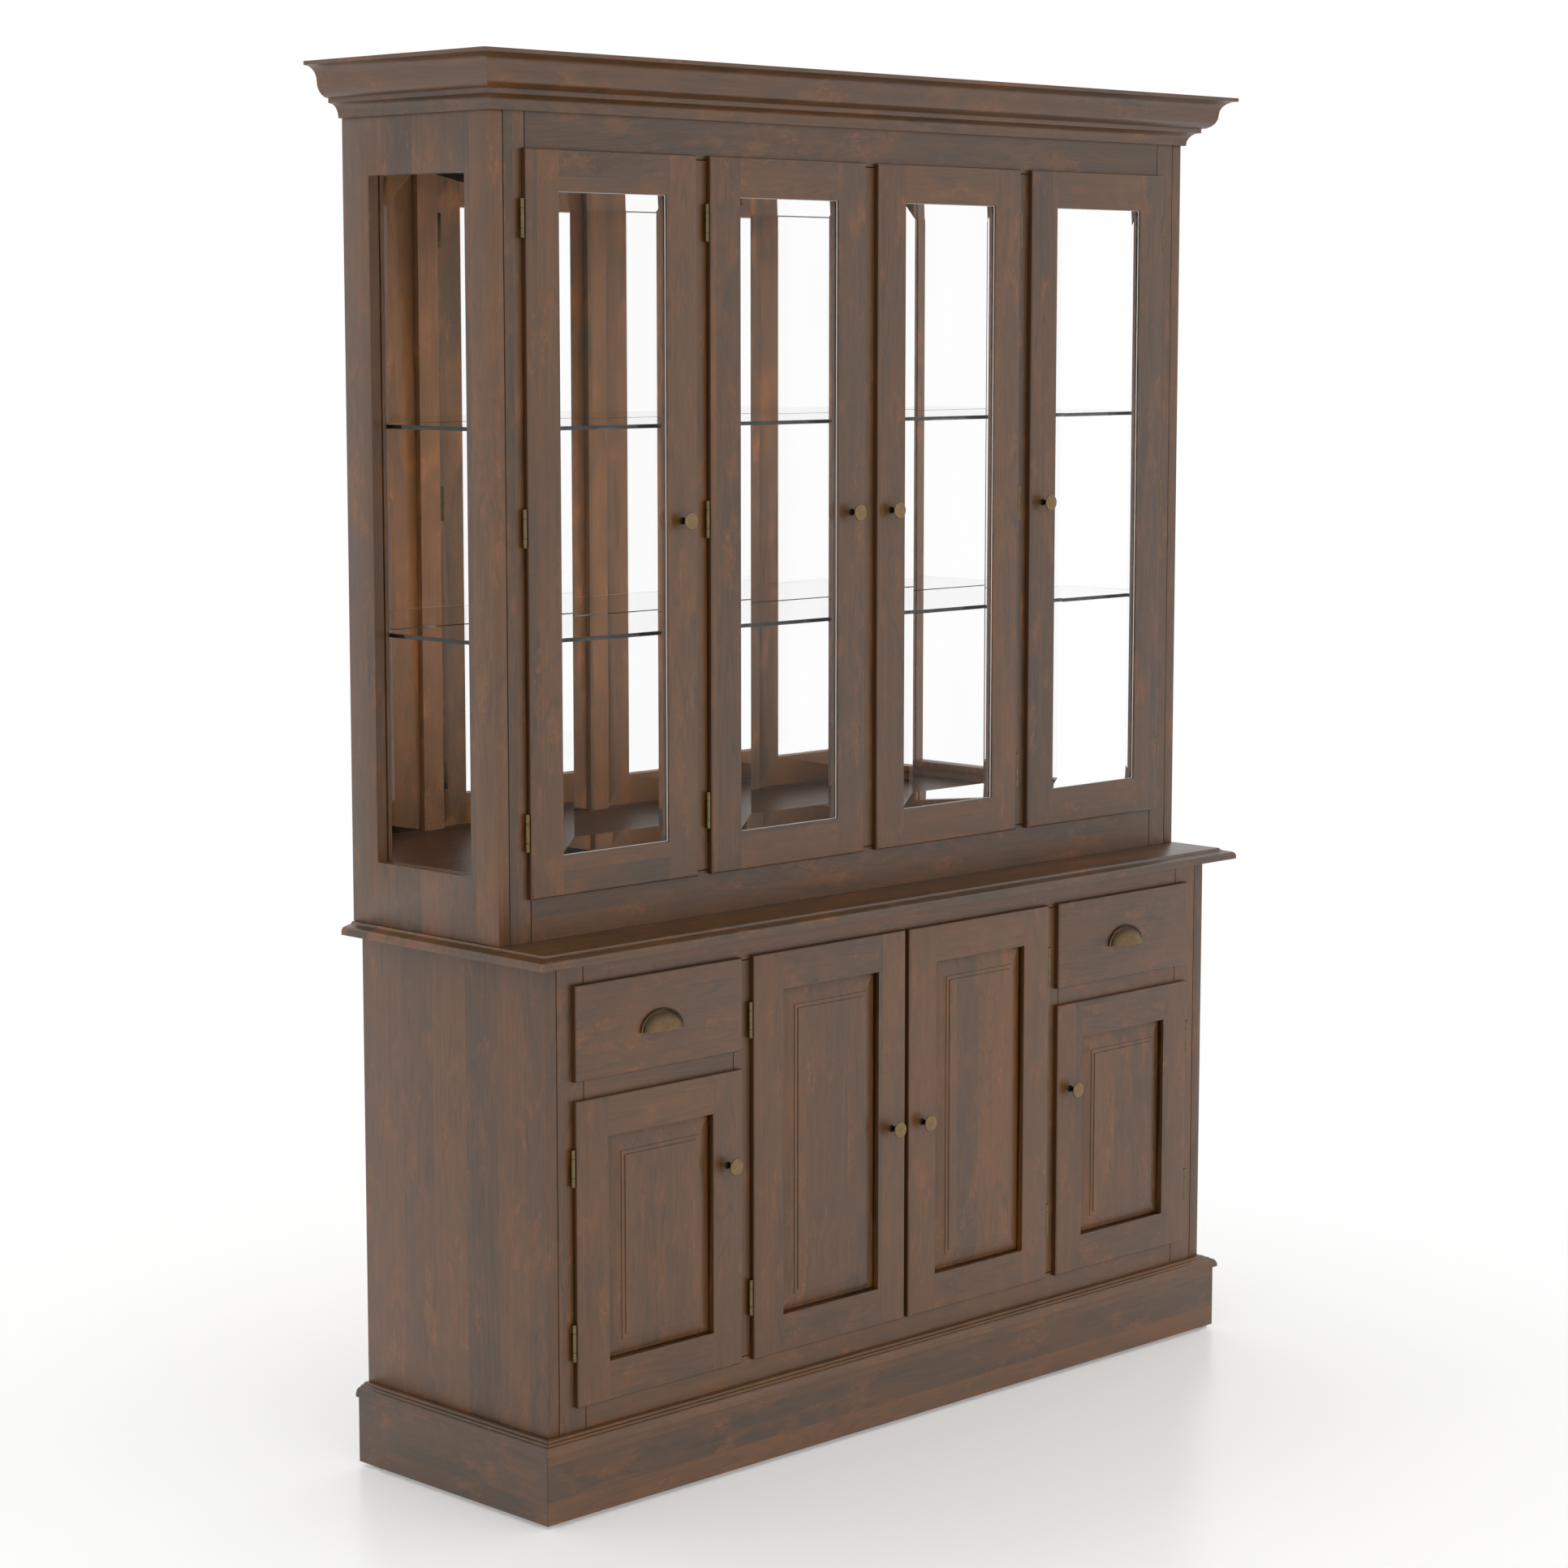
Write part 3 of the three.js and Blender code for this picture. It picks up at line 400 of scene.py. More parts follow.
@dataclass(frozen=True)
class WoodFinish(Finish):
    """Stained wood, glued up from staves, with figure, fibres, cloudy stain and orange flecks."""

    grain: Grain
    stave: float
    seed: float
    rails: tuple[Region, ...] = ()
    mirrored: bool = False
    mitre: Optional[tuple[float, float]] = None
    brass_before: Optional[float] = None
    brass_beyond: Optional[tuple[float, int]] = None
    brass_pegs: Optional[tuple[float, float, float]] = None
    # Painted shade lines along edges or grooves, where given.
    seams: Optional[Seams] = None
    gloss: float = 0.40
    bend: float = 1.66
    contrast: float = 0.42
    tone: float = 0.47
    lit_through: bool = False
    stain: Stain = WALNUT_STAIN

    def axes(self, place: dict[str, Value]) -> list[Value]:
        """Gives the place across, through and along the fibres, which turn at rails and mitres.

        Args:
            place: The point's x, y and z.

        Returns:
            The three places.
        """
        main = [place[axis] for axis in self.grain.value]
        across = abs(place["x"]) if self.mirrored else place["x"]
        masks = [rail.mask(across, place["z"]) for rail in self.rails]
        if self.mitre:
            half, front = self.mitre
            masks = [(abs(place["x"]) - half).above(front - place["y"])]
        if not masks:
            return main
        mask = reduce(Value.most, masks)
        other = Grain.DEEP if self.mitre else Grain.ACROSS
        mixed = [first + mask * (place[axis] - first) for first, axis in zip(main, other.value)]
        return [mixed[0] + mask * RAIL_SHIFT, *mixed[1:]]

    def metal(self, place: dict[str, Value]) -> Optional[Value]:
        """Gives 1 on the metal parts that are one with this board.

        Args:
            place: The point's x, y and z.

        Returns:
            The mask, or nothing where the board has none.
        """
        if self.brass_before is not None:
            return place["y"].below(self.brass_before)
        if self.brass_beyond is not None:
            edge, side = self.brass_beyond
            return place["x"].below(edge) if side < 0 else place["x"].above(edge)
        if self.brass_pegs is not None:
            inner, middle, reach = self.brass_pegs
            return abs(place["x"]).below(inner) * abs(place["y"] - middle).above(reach)
        return None

    def settled(self, recipe: Recipe, place: dict[str, Value], colour: Socket) -> Socket:
        """Paints shade lines on the wood, along a board's edges or in the grooves round a raised
        field.

        Args:
            recipe: The finish's nodes.
            place: The point's x, y and z.
            colour: The wood's colour.

        Returns:
            The darkened colour.
        """
        if self.seams is None:
            return colour
        depth = self.seams.rim.depth(place["x"], place["z"])
        # Each line darkens the colour as painted shade.
        for inset in self.seams.insets:
            line = (1.0 - abs(depth - inset) * (1.0 / self.seams.width)).within()
            colour = recipe.blend(line * self.seams.share, colour, self.stain.seam)
        return colour

    def staves(self, recipe: Recipe, place: dict[str, Value]) -> tuple[Socket, Value]:
        """Takes every stave from a part of the grain of its own.

        Args:
            recipe: The finish's nodes.
            place: The point's x, y and z.

        Returns:
            The point that the grain is read at, and the stave's own tone between 0 and 1.
        """
        across, through, along = self.axes(place)
        stave = recipe.add("TexVoronoi", {"W": across + (self.seed * 0.731 + 7.3),
                                          "Scale": 1.0 / self.stave, "Randomness": 0.55},
                           voronoi_dimensions="1D", feature="F1")
        lot = recipe.add("SeparateColor", {0: stave.outputs["Color"]})
        tone_lot, shift_lot, warm_lot = (Value(recipe, lot.outputs[order]) for order in range(3))
        spot = recipe.vector(across + shift_lot * 1.9 + self.seed, through,
                             along + shift_lot * 3.1 + warm_lot * 2.3 + self.seed * 1.7)
        return spot, tone_lot

    def shader(self, recipe: Recipe) -> Node:
        """Adds the nodes of the finish.

        Args:
            recipe: The finish's nodes.

        Returns:
            Its shader.
        """
        place = recipe.place()
        spot, tone_lot = self.staves(recipe, place)
        layer = {noise: recipe.noise(spot, noise) for noise in (
            Noise.RINGS, Noise.SWAY, Noise.FIGURE, Noise.SPOTS, Noise.PATCHES, Noise.GUM,
            *TONE_SHARES)}
        rings = (layer[Noise.RINGS] * RING_COUNT + layer[Noise.SWAY] * RING_SWAY).wave()
        figure = layer[Noise.FIGURE].ease(*FIGURE_LIMITS) * (1.0 - LINE_FLOOR) + LINE_FLOOR
        lines = rings.power(LINE_SHARPNESS) * figure
        tone = self.tone + (tone_lot - 0.5) * self.contrast
        for noise, share in TONE_SHARES.items():
            tone = tone + (layer[noise] - 0.5) * share
        tone = tone + (rings - 0.5) * RING_SHARE - lines * LINE_SHARE
        patches = layer[Noise.PATCHES] - 0.5
        haze = (layer[Noise.MOTTLE] + patches * PATCH_IN_HAZE).ease(*HAZE_LIMITS)
        flecks = (layer[Noise.SPOTS] + patches * PATCH_IN_FLECKS).ease(*FLECK_LIMITS)
        gum = layer[Noise.GUM].ease(*GUM_LIMITS)
        stain = self.stain
        colour = recipe.ramp(tone, STAIN_PLACES, (stain.deep, stain.plain, stain.warm, stain.glow))
        colour = recipe.blend(haze * HAZE_SHARE, colour, stain.glow)
        colour = recipe.blend(flecks * FLECK_SHARE, colour, stain.fleck)
        colour = recipe.blend(gum * GUM_SHARE, colour, stain.gum)
        colour = self.settled(recipe, place, colour)
        metal = self.metal(place)
        if metal is not None:
            colour = recipe.blend(metal, colour, BRASS_COLOUR)
        fibre, streak, cloud = (layer[noise] for noise in (Noise.FIBRE, Noise.STREAK, Noise.CLOUD))
        pores = fibre * PORES[0] + streak * PORES[1] - lines * PORES[2] - gum * PORES[3]
        body = recipe.add("BsdfPrincipled", {
            "Base Color": colour, "Metallic": 0.0 if metal is None else metal, "IOR": self.bend,
            "Roughness": self.gloss + (cloud - 0.5) * GLOSS_RANGE + (fibre - 0.5) * GLOSS_RANGE,
            "Normal": recipe.bump(pores, PORE_STRENGTH, PORE_DEPTH)})
        if self.lit_through:
            body = recipe.let_light_through(body, BACK_LIGHT)
        return body


@dataclass(frozen=True)
class MetalFinish(Finish):
    """Aged metal with a cloudy patina, with painted shade between two depths where they are given.
    """

    bright: Colour
    dull: Colour
    gloss: float = 0.36
    tarnish: Optional[tuple[float, float]] = None

    def shader(self, recipe: Recipe) -> Node:
        """Adds the nodes of the finish.

        Args:
            recipe: The finish's nodes.

        Returns:
            Its shader.
        """
        spot = recipe.spot()
        patina = recipe.noise(spot, Noise.PATINA)
        brushed = recipe.noise(spot, Noise.BRUSHED)
        colour = recipe.blend(patina.ease(0.35, 0.72), self.bright, self.dull)
        # Painted shade: darkest just in front of the given depth, fading forwards.
        if self.tarnish is not None:
            depth = recipe.place()["y"]
            dark = depth.ease(*self.tarnish) * depth.below(self.tarnish[1])
            colour = recipe.blend(dark * RIM_SHADE_SHARE, colour, RIM_SHADE_COLOUR)
        return recipe.add("BsdfPrincipled", {
            "Base Color": colour, "Metallic": 1.0, "Normal": recipe.bump(brushed, 0.08, 0.0002),
            "Roughness": self.gloss + (patina - 0.5) * 0.18 + (brushed - 0.5) * 0.06})


@dataclass(frozen=True)
class GlassFinish(Finish):
    """Clear sheet glass that lets the light into the case, with a green tint and painted dark
    reflection at its edge outside a face.
    """

    shine: float = 1.0
    bend: float = 1.5
    filmed: Colour = (0.985, 0.990, 0.988, 1.0)
    passing: Colour = (1.09, 1.07, 1.04, 1.0)
    # Green tint of the glass edge, darkened as a painted reflection of the dark case.
    edge_colour: Colour = (0.035, 0.050, 0.045, 1.0)
    face: Optional[Region] = None
    edge_middle: float = 0.0

    def shader(self, recipe: Recipe) -> Node:
        """Adds the nodes of the finish.

        Args:
            recipe: The finish's nodes.

        Returns:
            Its shader.
        """
        spot = recipe.spot()
        colour = recipe.blend(recipe.noise(spot, Noise.FILM).ease(0.45, 0.8), WHITE, self.filmed)
        if self.face is not None:
            place = recipe.place()
            edge = 1.0 - self.face.mask(place["x"], place["y"])
            gleam = recipe.noise(spot, Noise.GLEAM).ease(0.49, 0.53)
            # The edge takes the tint and painted dark reflection, except in gleaming spots on its
            # lower part, where it stays clear.
            gleam = gleam * place["z"].below(self.edge_middle)
            colour = recipe.blend(edge * (1.0 - gleam), colour, self.edge_colour)
        body = recipe.add("BsdfPrincipled", {
            "Base Color": colour, "Roughness": 0.0, "IOR": self.bend, "Transmission Weight": 1.0,
            "Specular Tint": (self.shine, self.shine, self.shine, 1.0)})
        return recipe.let_light_through(body, self.passing)


@dataclass(frozen=True)
class MirrorFinish(Finish):
    """A silvered mirror with a faint bloom."""

    silver: Colour = (0.985, 0.985, 0.985, 1.0)
    bloomed: Colour = (0.960, 0.965, 0.960, 1.0)
    passing: Colour = (1.70, 1.67, 1.62, 1.0)

    def shader(self, recipe: Recipe) -> Node:
        """Adds the nodes of the finish.

        Args:
            recipe: The finish's nodes.

        Returns:
            Its shader.
        """
        bloom = recipe.noise(recipe.spot(), Noise.BLOOM)
        colour = recipe.blend(bloom.ease(0.45, 0.95), self.silver, self.bloomed)
        body = recipe.add("BsdfPrincipled",
                          {"Base Color": colour, "Metallic": 1.0, "Roughness": 0.0})
        return recipe.let_light_through(body, self.passing)


@dataclass(frozen=True)
class MilkFinish(Finish):
    """Milky nylon or rubber, a little scuffed."""

    milk: Colour = (0.62, 0.62, 0.61, 1.0)
    scuffed: Colour = (0.50, 0.50, 0.49, 1.0)

    def shader(self, recipe: Recipe) -> Node:
        """Adds the nodes of the finish.

        Args:
            recipe: The finish's nodes.

        Returns:
            Its shader.
        """
        scuffs = recipe.noise(recipe.spot(), Noise.SCUFFS)
        colour = recipe.blend(scuffs.ease(0.5, 0.8), self.milk, self.scuffed)
        return recipe.add("BsdfPrincipled", {"Base Color": colour,
                                             "Roughness": 0.28 + scuffs * 0.2})


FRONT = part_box("drawer_left_front")[0].y
AGED_BRASS = MetalFinish("aged_brass", (0.238, 0.160, 0.084, 1.0), (0.195, 0.130, 0.067, 1.0))
# Darker brass for the cup pull, with painted shade on the shell in front of its rim.
DARK_BRASS = MetalFinish("dark_brass", (0.188, 0.122, 0.067, 1.0), (0.152, 0.098, 0.053, 1.0),
                         tarnish=(FRONT - 0.0145, FRONT - 0.0045))
HINGE_BRASS = MetalFinish("hinge_brass", (0.182, 0.136, 0.072, 1.0), (0.142, 0.105, 0.054, 1.0),
                          gloss=0.42)
# Near-black brass, painted on the knob's neck as the shade behind its disc.
NECK_SHADE_BRASS = MetalFinish("painted_shade_brass", (0.020, 0.018, 0.014, 1.0),
                          (0.012, 0.010, 0.008, 1.0), gloss=0.30)
DOOR_GLASS = GlassFinish("bevelled_glass", shine=0.02)
SIDE_GLASS = GlassFinish("side_glass", shine=0.02, bend=1.10)
MIRROR = MirrorFinish("silvered_mirror")
NYLON = MilkFinish("nylon_glide")
RUBBER = MilkFinish("glass_seal", milk=(0.50, 0.49, 0.48, 1.0))


# Modelling steps


def shares(count: int) -> list[float]:
    """Gives equal steps of a whole, from the first one up to 1."""
    return [step / count for step in range(1, count + 1)]


def start_clean() -> None:
    """Leaves edit mode and deselects everything."""
    if bpy.context.object and bpy.context.object.mode != "OBJECT":
        bpy.ops.object.mode_set(mode="OBJECT")
    bpy.ops.object.select_all(action="DESELECT")


def take(piece: Part) -> None:
    """Makes one piece the active and only selected one.

    Args:
        piece: The piece.
    """
    start_clean()
    piece.select_set(True)
    bpy.context.view_layer.objects.active = piece


@contextmanager
def editing(piece: Part) -> Iterator[None]:
    """Opens a piece in edit mode with all of it selected, and closes it afterwards.

    Args:
        piece: The piece.

    Yields:
        Nothing, while the piece is open.
    """
    take(piece)
    bpy.ops.object.mode_set(mode="EDIT")
    bpy.ops.mesh.select_all(action="SELECT")
    yield
    bpy.ops.object.mode_set(mode="OBJECT")


def settle(piece: Part) -> None:
    """Moves a piece's place, turn and scale into its mesh."""
    take(piece)
    bpy.ops.object.transform_apply(location=True, rotation=True, scale=True)


def modify(piece: Part, kind: str, **settings: Any) -> None:
    """Shapes a piece with a modifier and applies it.

    Args:
        piece: The piece.
        kind: The modifier's type.
        settings: Its settings.
    """
    take(piece)
    modifier = piece.modifiers.new(kind.lower(), kind)
    for key, setting in settings.items():
        setattr(modifier, key, setting)
    bpy.ops.object.modifier_apply(modifier=modifier.name)


def right_side_out(piece: Part) -> None:
    """Merges doubles and turns every face outwards.

    Args:
        piece: The piece.
    """
    with editing(piece):
        bpy.ops.mesh.remove_doubles(threshold=0.000005)
        bpy.ops.mesh.normals_make_consistent(inside=False)


def turned(name: str, stations: Sequence[tuple[float, float]], sides: int) -> Part:
    """Turns a round piece, from a disc that is extruded and scaled station by station.

    Args:
        name: The piece's name.
        stations: Its radius and height at each station.
        sides: How many sides the circle has.

    Returns:
        The piece, standing upright on its axis.
    """
    start_clean()
    radius, height = stations[0]
    bpy.ops.mesh.primitive_circle_add(vertices=sides, radius=radius, fill_type="NGON",
                                      location=(0.0, 0.0, height))
    piece = bpy.context.object
    piece.name = name
    with editing(piece):
        for next_radius, next_height in stations[1:]:
            rise = {"value": (0.0, 0.0, next_height - height)}
            bpy.ops.mesh.extrude_region_move(TRANSFORM_OT_translate=rise)
            scale = next_radius / radius
            bpy.ops.transform.resize(value=(scale, scale, 1.0))
            radius, height = next_radius, next_height
    settle(piece)
    right_side_out(piece)
    return piece


def slab(name: str, low: Vector, high: Vector, edge: float = 0.0003) -> Part:
    """Makes a thin plate with softened edges.

    Args:
        name: The piece's name.
        low: Its lowest corner.
        high: Its highest corner.
        edge: How wide its softened edges are.

    Returns:
        The plate.
    """
    start_clean()
    bpy.ops.mesh.primitive_cube_add(size=1.0, location=(low + high) / 2.0, scale=high - low)
    piece = bpy.context.object
    piece.name = name
    settle(piece)
    with editing(piece):
        bpy.ops.mesh.bevel(offset=edge, segments=2, affect="EDGES")
    return piece


def joined(name: str, parts: Sequence[Part]) -> Part:
    """Joins parts into one piece.

    Args:
        name: The piece's name.
        parts: The parts.

    Returns:
        The piece.
    """
    take(parts[0])
    for part in parts[1:]:
        part.select_set(True)
    bpy.ops.object.join()
    parts[0].name = name
    return parts[0]


def smooth(piece: Part, degrees: float) -> None:
    """Shades a piece smooth across edges that are flatter than an angle.

    Args:
        piece: The piece.
        degrees: The angle, or 0 for flat faces.
    """
    take(piece)
    if degrees > 0.0:
        bpy.ops.object.shade_smooth_by_angle(angle=math.radians(degrees))
    else:
        bpy.ops.object.shade_flat()


def soften(piece: Part, width: float, shortest: float = 0.02) -> None:
    """Rounds the long sharp edges of a piece.

    Args:
        piece: The piece.
        width: How wide the rounded edges are.
        shortest: The length of the shortest edge that is rounded.
    """
    with editing(piece):
        bpy.ops.mesh.dissolve_limited(angle_limit=math.radians(0.4))
        bpy.ops.mesh.select_all(action="DESELECT")
        bpy.ops.mesh.edges_select_sharp(sharpness=math.radians(40.0))
    points = piece.data.vertices
    for edge in piece.data.edges:
        first, second = (points[corner].co for corner in edge.vertices)
        edge.select = edge.select and (first - second).length > shortest
    bpy.ops.object.mode_set(mode="EDIT")
    bpy.ops.mesh.bevel(offset=width, segments=2, profile=0.6, affect="EDGES", clamp_overlap=True)
    bpy.ops.object.mode_set(mode="OBJECT")


def finishing_copy(node: str, name: str, bevel: float, degrees: float) -> Part:
    """Copies a node's solid, merges it and softens its long sharp edges.

    Args:
        node: The node that the piece stands for.
        name: The piece's name.
        bevel: How wide the softened edges are, or 0 for none.
        degrees: The angle up to which it is shaded smooth.

    Returns:
        The piece.
    """
    piece = bpy.data.objects.new(name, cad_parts[node].data.copy())
    bpy.context.scene.collection.objects.link(piece)
    with editing(piece):
        bpy.ops.mesh.select_mode(type="EDGE")
        bpy.ops.mesh.remove_doubles(threshold=0.00001)
    if bevel > 0.0:
        soften(piece, bevel)
    smooth(piece, degrees)
    return piece


def draw_in(piece: Part, half: tuple[float, float], shift: tuple[float, float],
            rise: float = 0.0, reach: float = 0.001) -> None:
    """Moves the corners of a raised field outwards or inwards.

    Args:
        piece: The piece, whose field faces the front.
        half: Half the width and half the height of the field.
        shift: How much wider and taller, on each side, the field becomes.
        rise: How much further the field stands out.
        reach: How far from the field's corners a corner may lie to be taken.
    """
    corners = [Vector(corner) for corner in piece.bound_box]
    centre = (corners[0] + corners[6]) / 2.0
    with editing(piece):
        bpy.ops.mesh.select_mode(type="VERT")
        bpy.ops.mesh.select_all(action="DESELECT")
    for corner in piece.data.vertices:
        off = (abs(corner.co.x - centre.x) - half[0], abs(corner.co.z - centre.z) - half[1])
        corner.select = abs(off[0]) < reach and abs(off[1]) < reach
    bpy.ops.object.mode_set(mode="EDIT")
    bpy.ops.transform.resize(value=(1.0 + shift[0] / half[0], 1.0, 1.0 + shift[1] / half[1]),
                             center_override=centre)
    bpy.ops.transform.translate(value=(0.0, -rise, 0.0))
    bpy.ops.object.mode_set(mode="OBJECT")


def dress(piece: Part, *finishes: Finish) -> None:
    """Gives a new piece its finishes.

    Args:
        piece: The piece.
        finishes: The finish of each of its slots.
    """
    piece.data.materials.clear()
    for finish in finishes:
        piece.data.materials.append(finish.build())


def dress_solids(finish: Finish, *nodes: str) -> None:
    """Gives a finish to nodes that keep their solid's own shape.

    Args:
        finish: The finish.
        nodes: The nodes.
    """
    for node in nodes:
        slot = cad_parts[node].material_slots[0]
        slot.link = "OBJECT"
        slot.material = finish.build()
        LOG.info("%s keeps its solid's shape", node)


def stand_for(piece: Part, body: str, slot: str, *nodes: str) -> None:
    """Lets a piece ride on a body and stand for nodes.

    Args:
        piece: The piece.
        body: The body that it rides on.
        slot: Not used.
        nodes: The nodes that it replaces.
    """
    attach(piece, body)
    if nodes:
        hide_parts(*nodes)
    LOG.info("%s rides on %s and stands for %s", piece.name, body, ", ".join(nodes) or "nothing")


def board(node: str, name: str, finish: WoodFinish, body: str = CARCASS, bevel: float = 0.0,
          degrees: float = 32.0) -> None:
    """Finishes a copy of a wooden node's solid and lets it stand for the node.

    Args:
        node: The node.
        name: The piece's name.
        finish: Its finish.
        body: The body that it rides on.
        bevel: How wide its softened edges are, or 0 for none.
        degrees: The angle up to which it is shaded smooth.
    """
    piece = finishing_copy(node, name, bevel, degrees)
    dress(piece, finish)
    stand_for(piece, body, "wood", node)


# Hardware


@dataclass
class Fitting:
    """A brass fitting of a front, modelled once and copied to the place of each of its nodes."""

    part: str
    ending: str
    raised: Optional[float] = None
    master: Optional[Part] = None

    def place(self, body: str) -> None:
        """Puts a copy, with a mesh of its own, on a door or drawer.

        Args:
            body: The body of the door or drawer.
        """
        node = f"{body}_{self.part}"
        low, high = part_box(node)
        height = (low.z + high.z) / 2.0 if self.raised is None else low.z + self.raised
        copy = self.master.copy()
        copy.data = self.master.data.copy()
        copy.name = f"{node}_{self.ending}"
        bpy.context.scene.collection.objects.link(copy)
        copy.data.transform(Matrix.Translation(Vector(((low.x + high.x) / 2.0, high.y, height))))
        stand_for(copy, body, "brass", node)


@dataclass
class Knob(Fitting):
    """A round knob: a disc with a slightly domed face on a neck painted near black as shade."""

    part: str = "knob"
    ending: str = "turned"
    radius: float = 0.0133
    projection: float = 0.0207
    disc: float = 0.0030
    rounding: float = 0.0014
    dome: float = 0.0011
    tip: float = 0.0004
    neck: float = 0.0043
    flare: float = 0.0056
    foot: float = 0.0005
    foot_curve: float = 0.0028
    throat: float = 0.0030
    throat_curve: float = 0.0029
    sides: int = 48

    @property
    def back(self) -> float:
        """The height of the disc's back."""
        return self.projection - self.dome - self.disc

    def outline(self) -> list[tuple[float, float]]:
        """Draws the outline from the foot to the face.

        Returns:
            The radius and height of each station.
        """
        wider, flat = self.flare - self.neck, self.radius - self.rounding
        throat, middle = self.back - self.throat, self.back + self.disc / 2.0
        stations = [(self.flare, 0.0), (self.flare, self.foot)]
        stations += [(self.flare - wider * math.sin(share * QUARTER_TURN),
                      self.foot + self.foot_curve * share) for share in shares(6)]
        stations.append((self.neck, throat))
        stations += [(self.neck + wider * (1.0 - math.cos(share * QUARTER_TURN)),
                      throat + self.throat_curve * share) for share in shares(6)]
        stations.append((flat, self.back))
        stations += [(flat + self.rounding * math.sin(share * math.pi),
                      middle - self.disc / 2.0 * math.cos(share * math.pi)) for share in shares(8)]
        stations += [(flat * (1.0 - share) + self.tip * share,
                      self.back + self.disc + self.dome * math.sin(share * QUARTER_TURN))
                     for share in shares(6)]
        return stations

    def build(self) -> None:
        """Turns the knob once, facing the front, with its foot at the origin."""
        knob = turned("knob", self.outline(), self.sides)
        knob.rotation_euler = (QUARTER_TURN, 0.0, 0.0)
        settle(knob)
        smooth(knob, 40.0)
        dress(knob, AGED_BRASS, NECK_SHADE_BRASS)
        # Faces behind the disc's back take the near-black brass as painted shade.
        for face in knob.data.polygons:
            if face.center.y > 0.0001 - self.back:
                face.material_index = 1
        self.master = knob


@dataclass
class CupPull(Fitting):
    """A cup pull: a quarter shell with a rolled rim against the drawer front."""

    part: str = "pull"
    ending: str = "formed"
    raised: Optional[float] = 0.0040
    half_width: float = 0.0433
    height: float = 0.0328
    projection: float = 0.0215
    slope: float = 0.62
    wall: float = 0.0016
    bead: float = 0.0006
    rim: float = 0.0023
    roll: float = 0.057
    overhang: float = 0.0004

    def cup(self) -> Part:
        """Cuts the shell out of a ball, lets its face slope and gives it its wall and beaded mouth.

        Returns:
            The shell.
        """
        start_clean()
        bpy.ops.mesh.primitive_uv_sphere_add(segments=96, ring_count=48, radius=1.0)
        cup = bpy.context.object
        cup.scale = (self.half_width - self.rim, self.projection, self.height - self.rim)
        settle(cup)
        with editing(cup):
            bpy.ops.mesh.bisect(plane_co=(0.0, 0.0, 0.0), plane_no=(0.0, 0.0, 1.0),
                                clear_inner=True)
            bpy.ops.mesh.select_all(action="SELECT")
            bpy.ops.mesh.bisect(plane_co=(0.0, -self.rim, 0.0), plane_no=(0.0, 1.0, 0.0),
                                clear_outer=True)
        modify(cup, "SIMPLE_DEFORM", deform_method="TAPER", deform_axis="Z", lock_x=True,
               factor=-self.slope)
        modify(cup, "SOLIDIFY", thickness=self.wall, offset=-1.0)
        modify(cup, "BEVEL", width=self.bead, segments=3, limit_method="ANGLE",
               angle_limit=math.radians(50.0))
        return cup

    def rolled(self) -> Part:
        """Bends the rolled rim round the shell's back edge.

        Returns:
            The rim.
        """
        start_clean()
        bpy.ops.mesh.primitive_torus_add(major_segments=96, minor_segments=20, major_radius=1.0,
                                         minor_radius=self.roll, rotation=(QUARTER_TURN, 0.0, 0.0))
        rim = bpy.context.object
        settle(rim)
        rim.scale = (self.half_width - self.rim, self.rim / self.roll, self.height - self.rim)
        rim.location = (0.0, -self.rim, 0.0)
        settle(rim)
        with editing(rim):
            bpy.ops.mesh.bisect(plane_co=(0.0, 0.0, -self.overhang), plane_no=(0.0, 0.0, 1.0),
                                clear_inner=True, use_fill=True)
        return rim

    def build(self) -> None:
        """Joins shell and rim into one pull, with the middle of its mouth at the origin."""
        pull = joined("cup_pull", [self.cup(), self.rolled()])
        right_side_out(pull)
        smooth(pull, 38.0)
        dress(pull, DARK_BRASS)
        self.master = pull


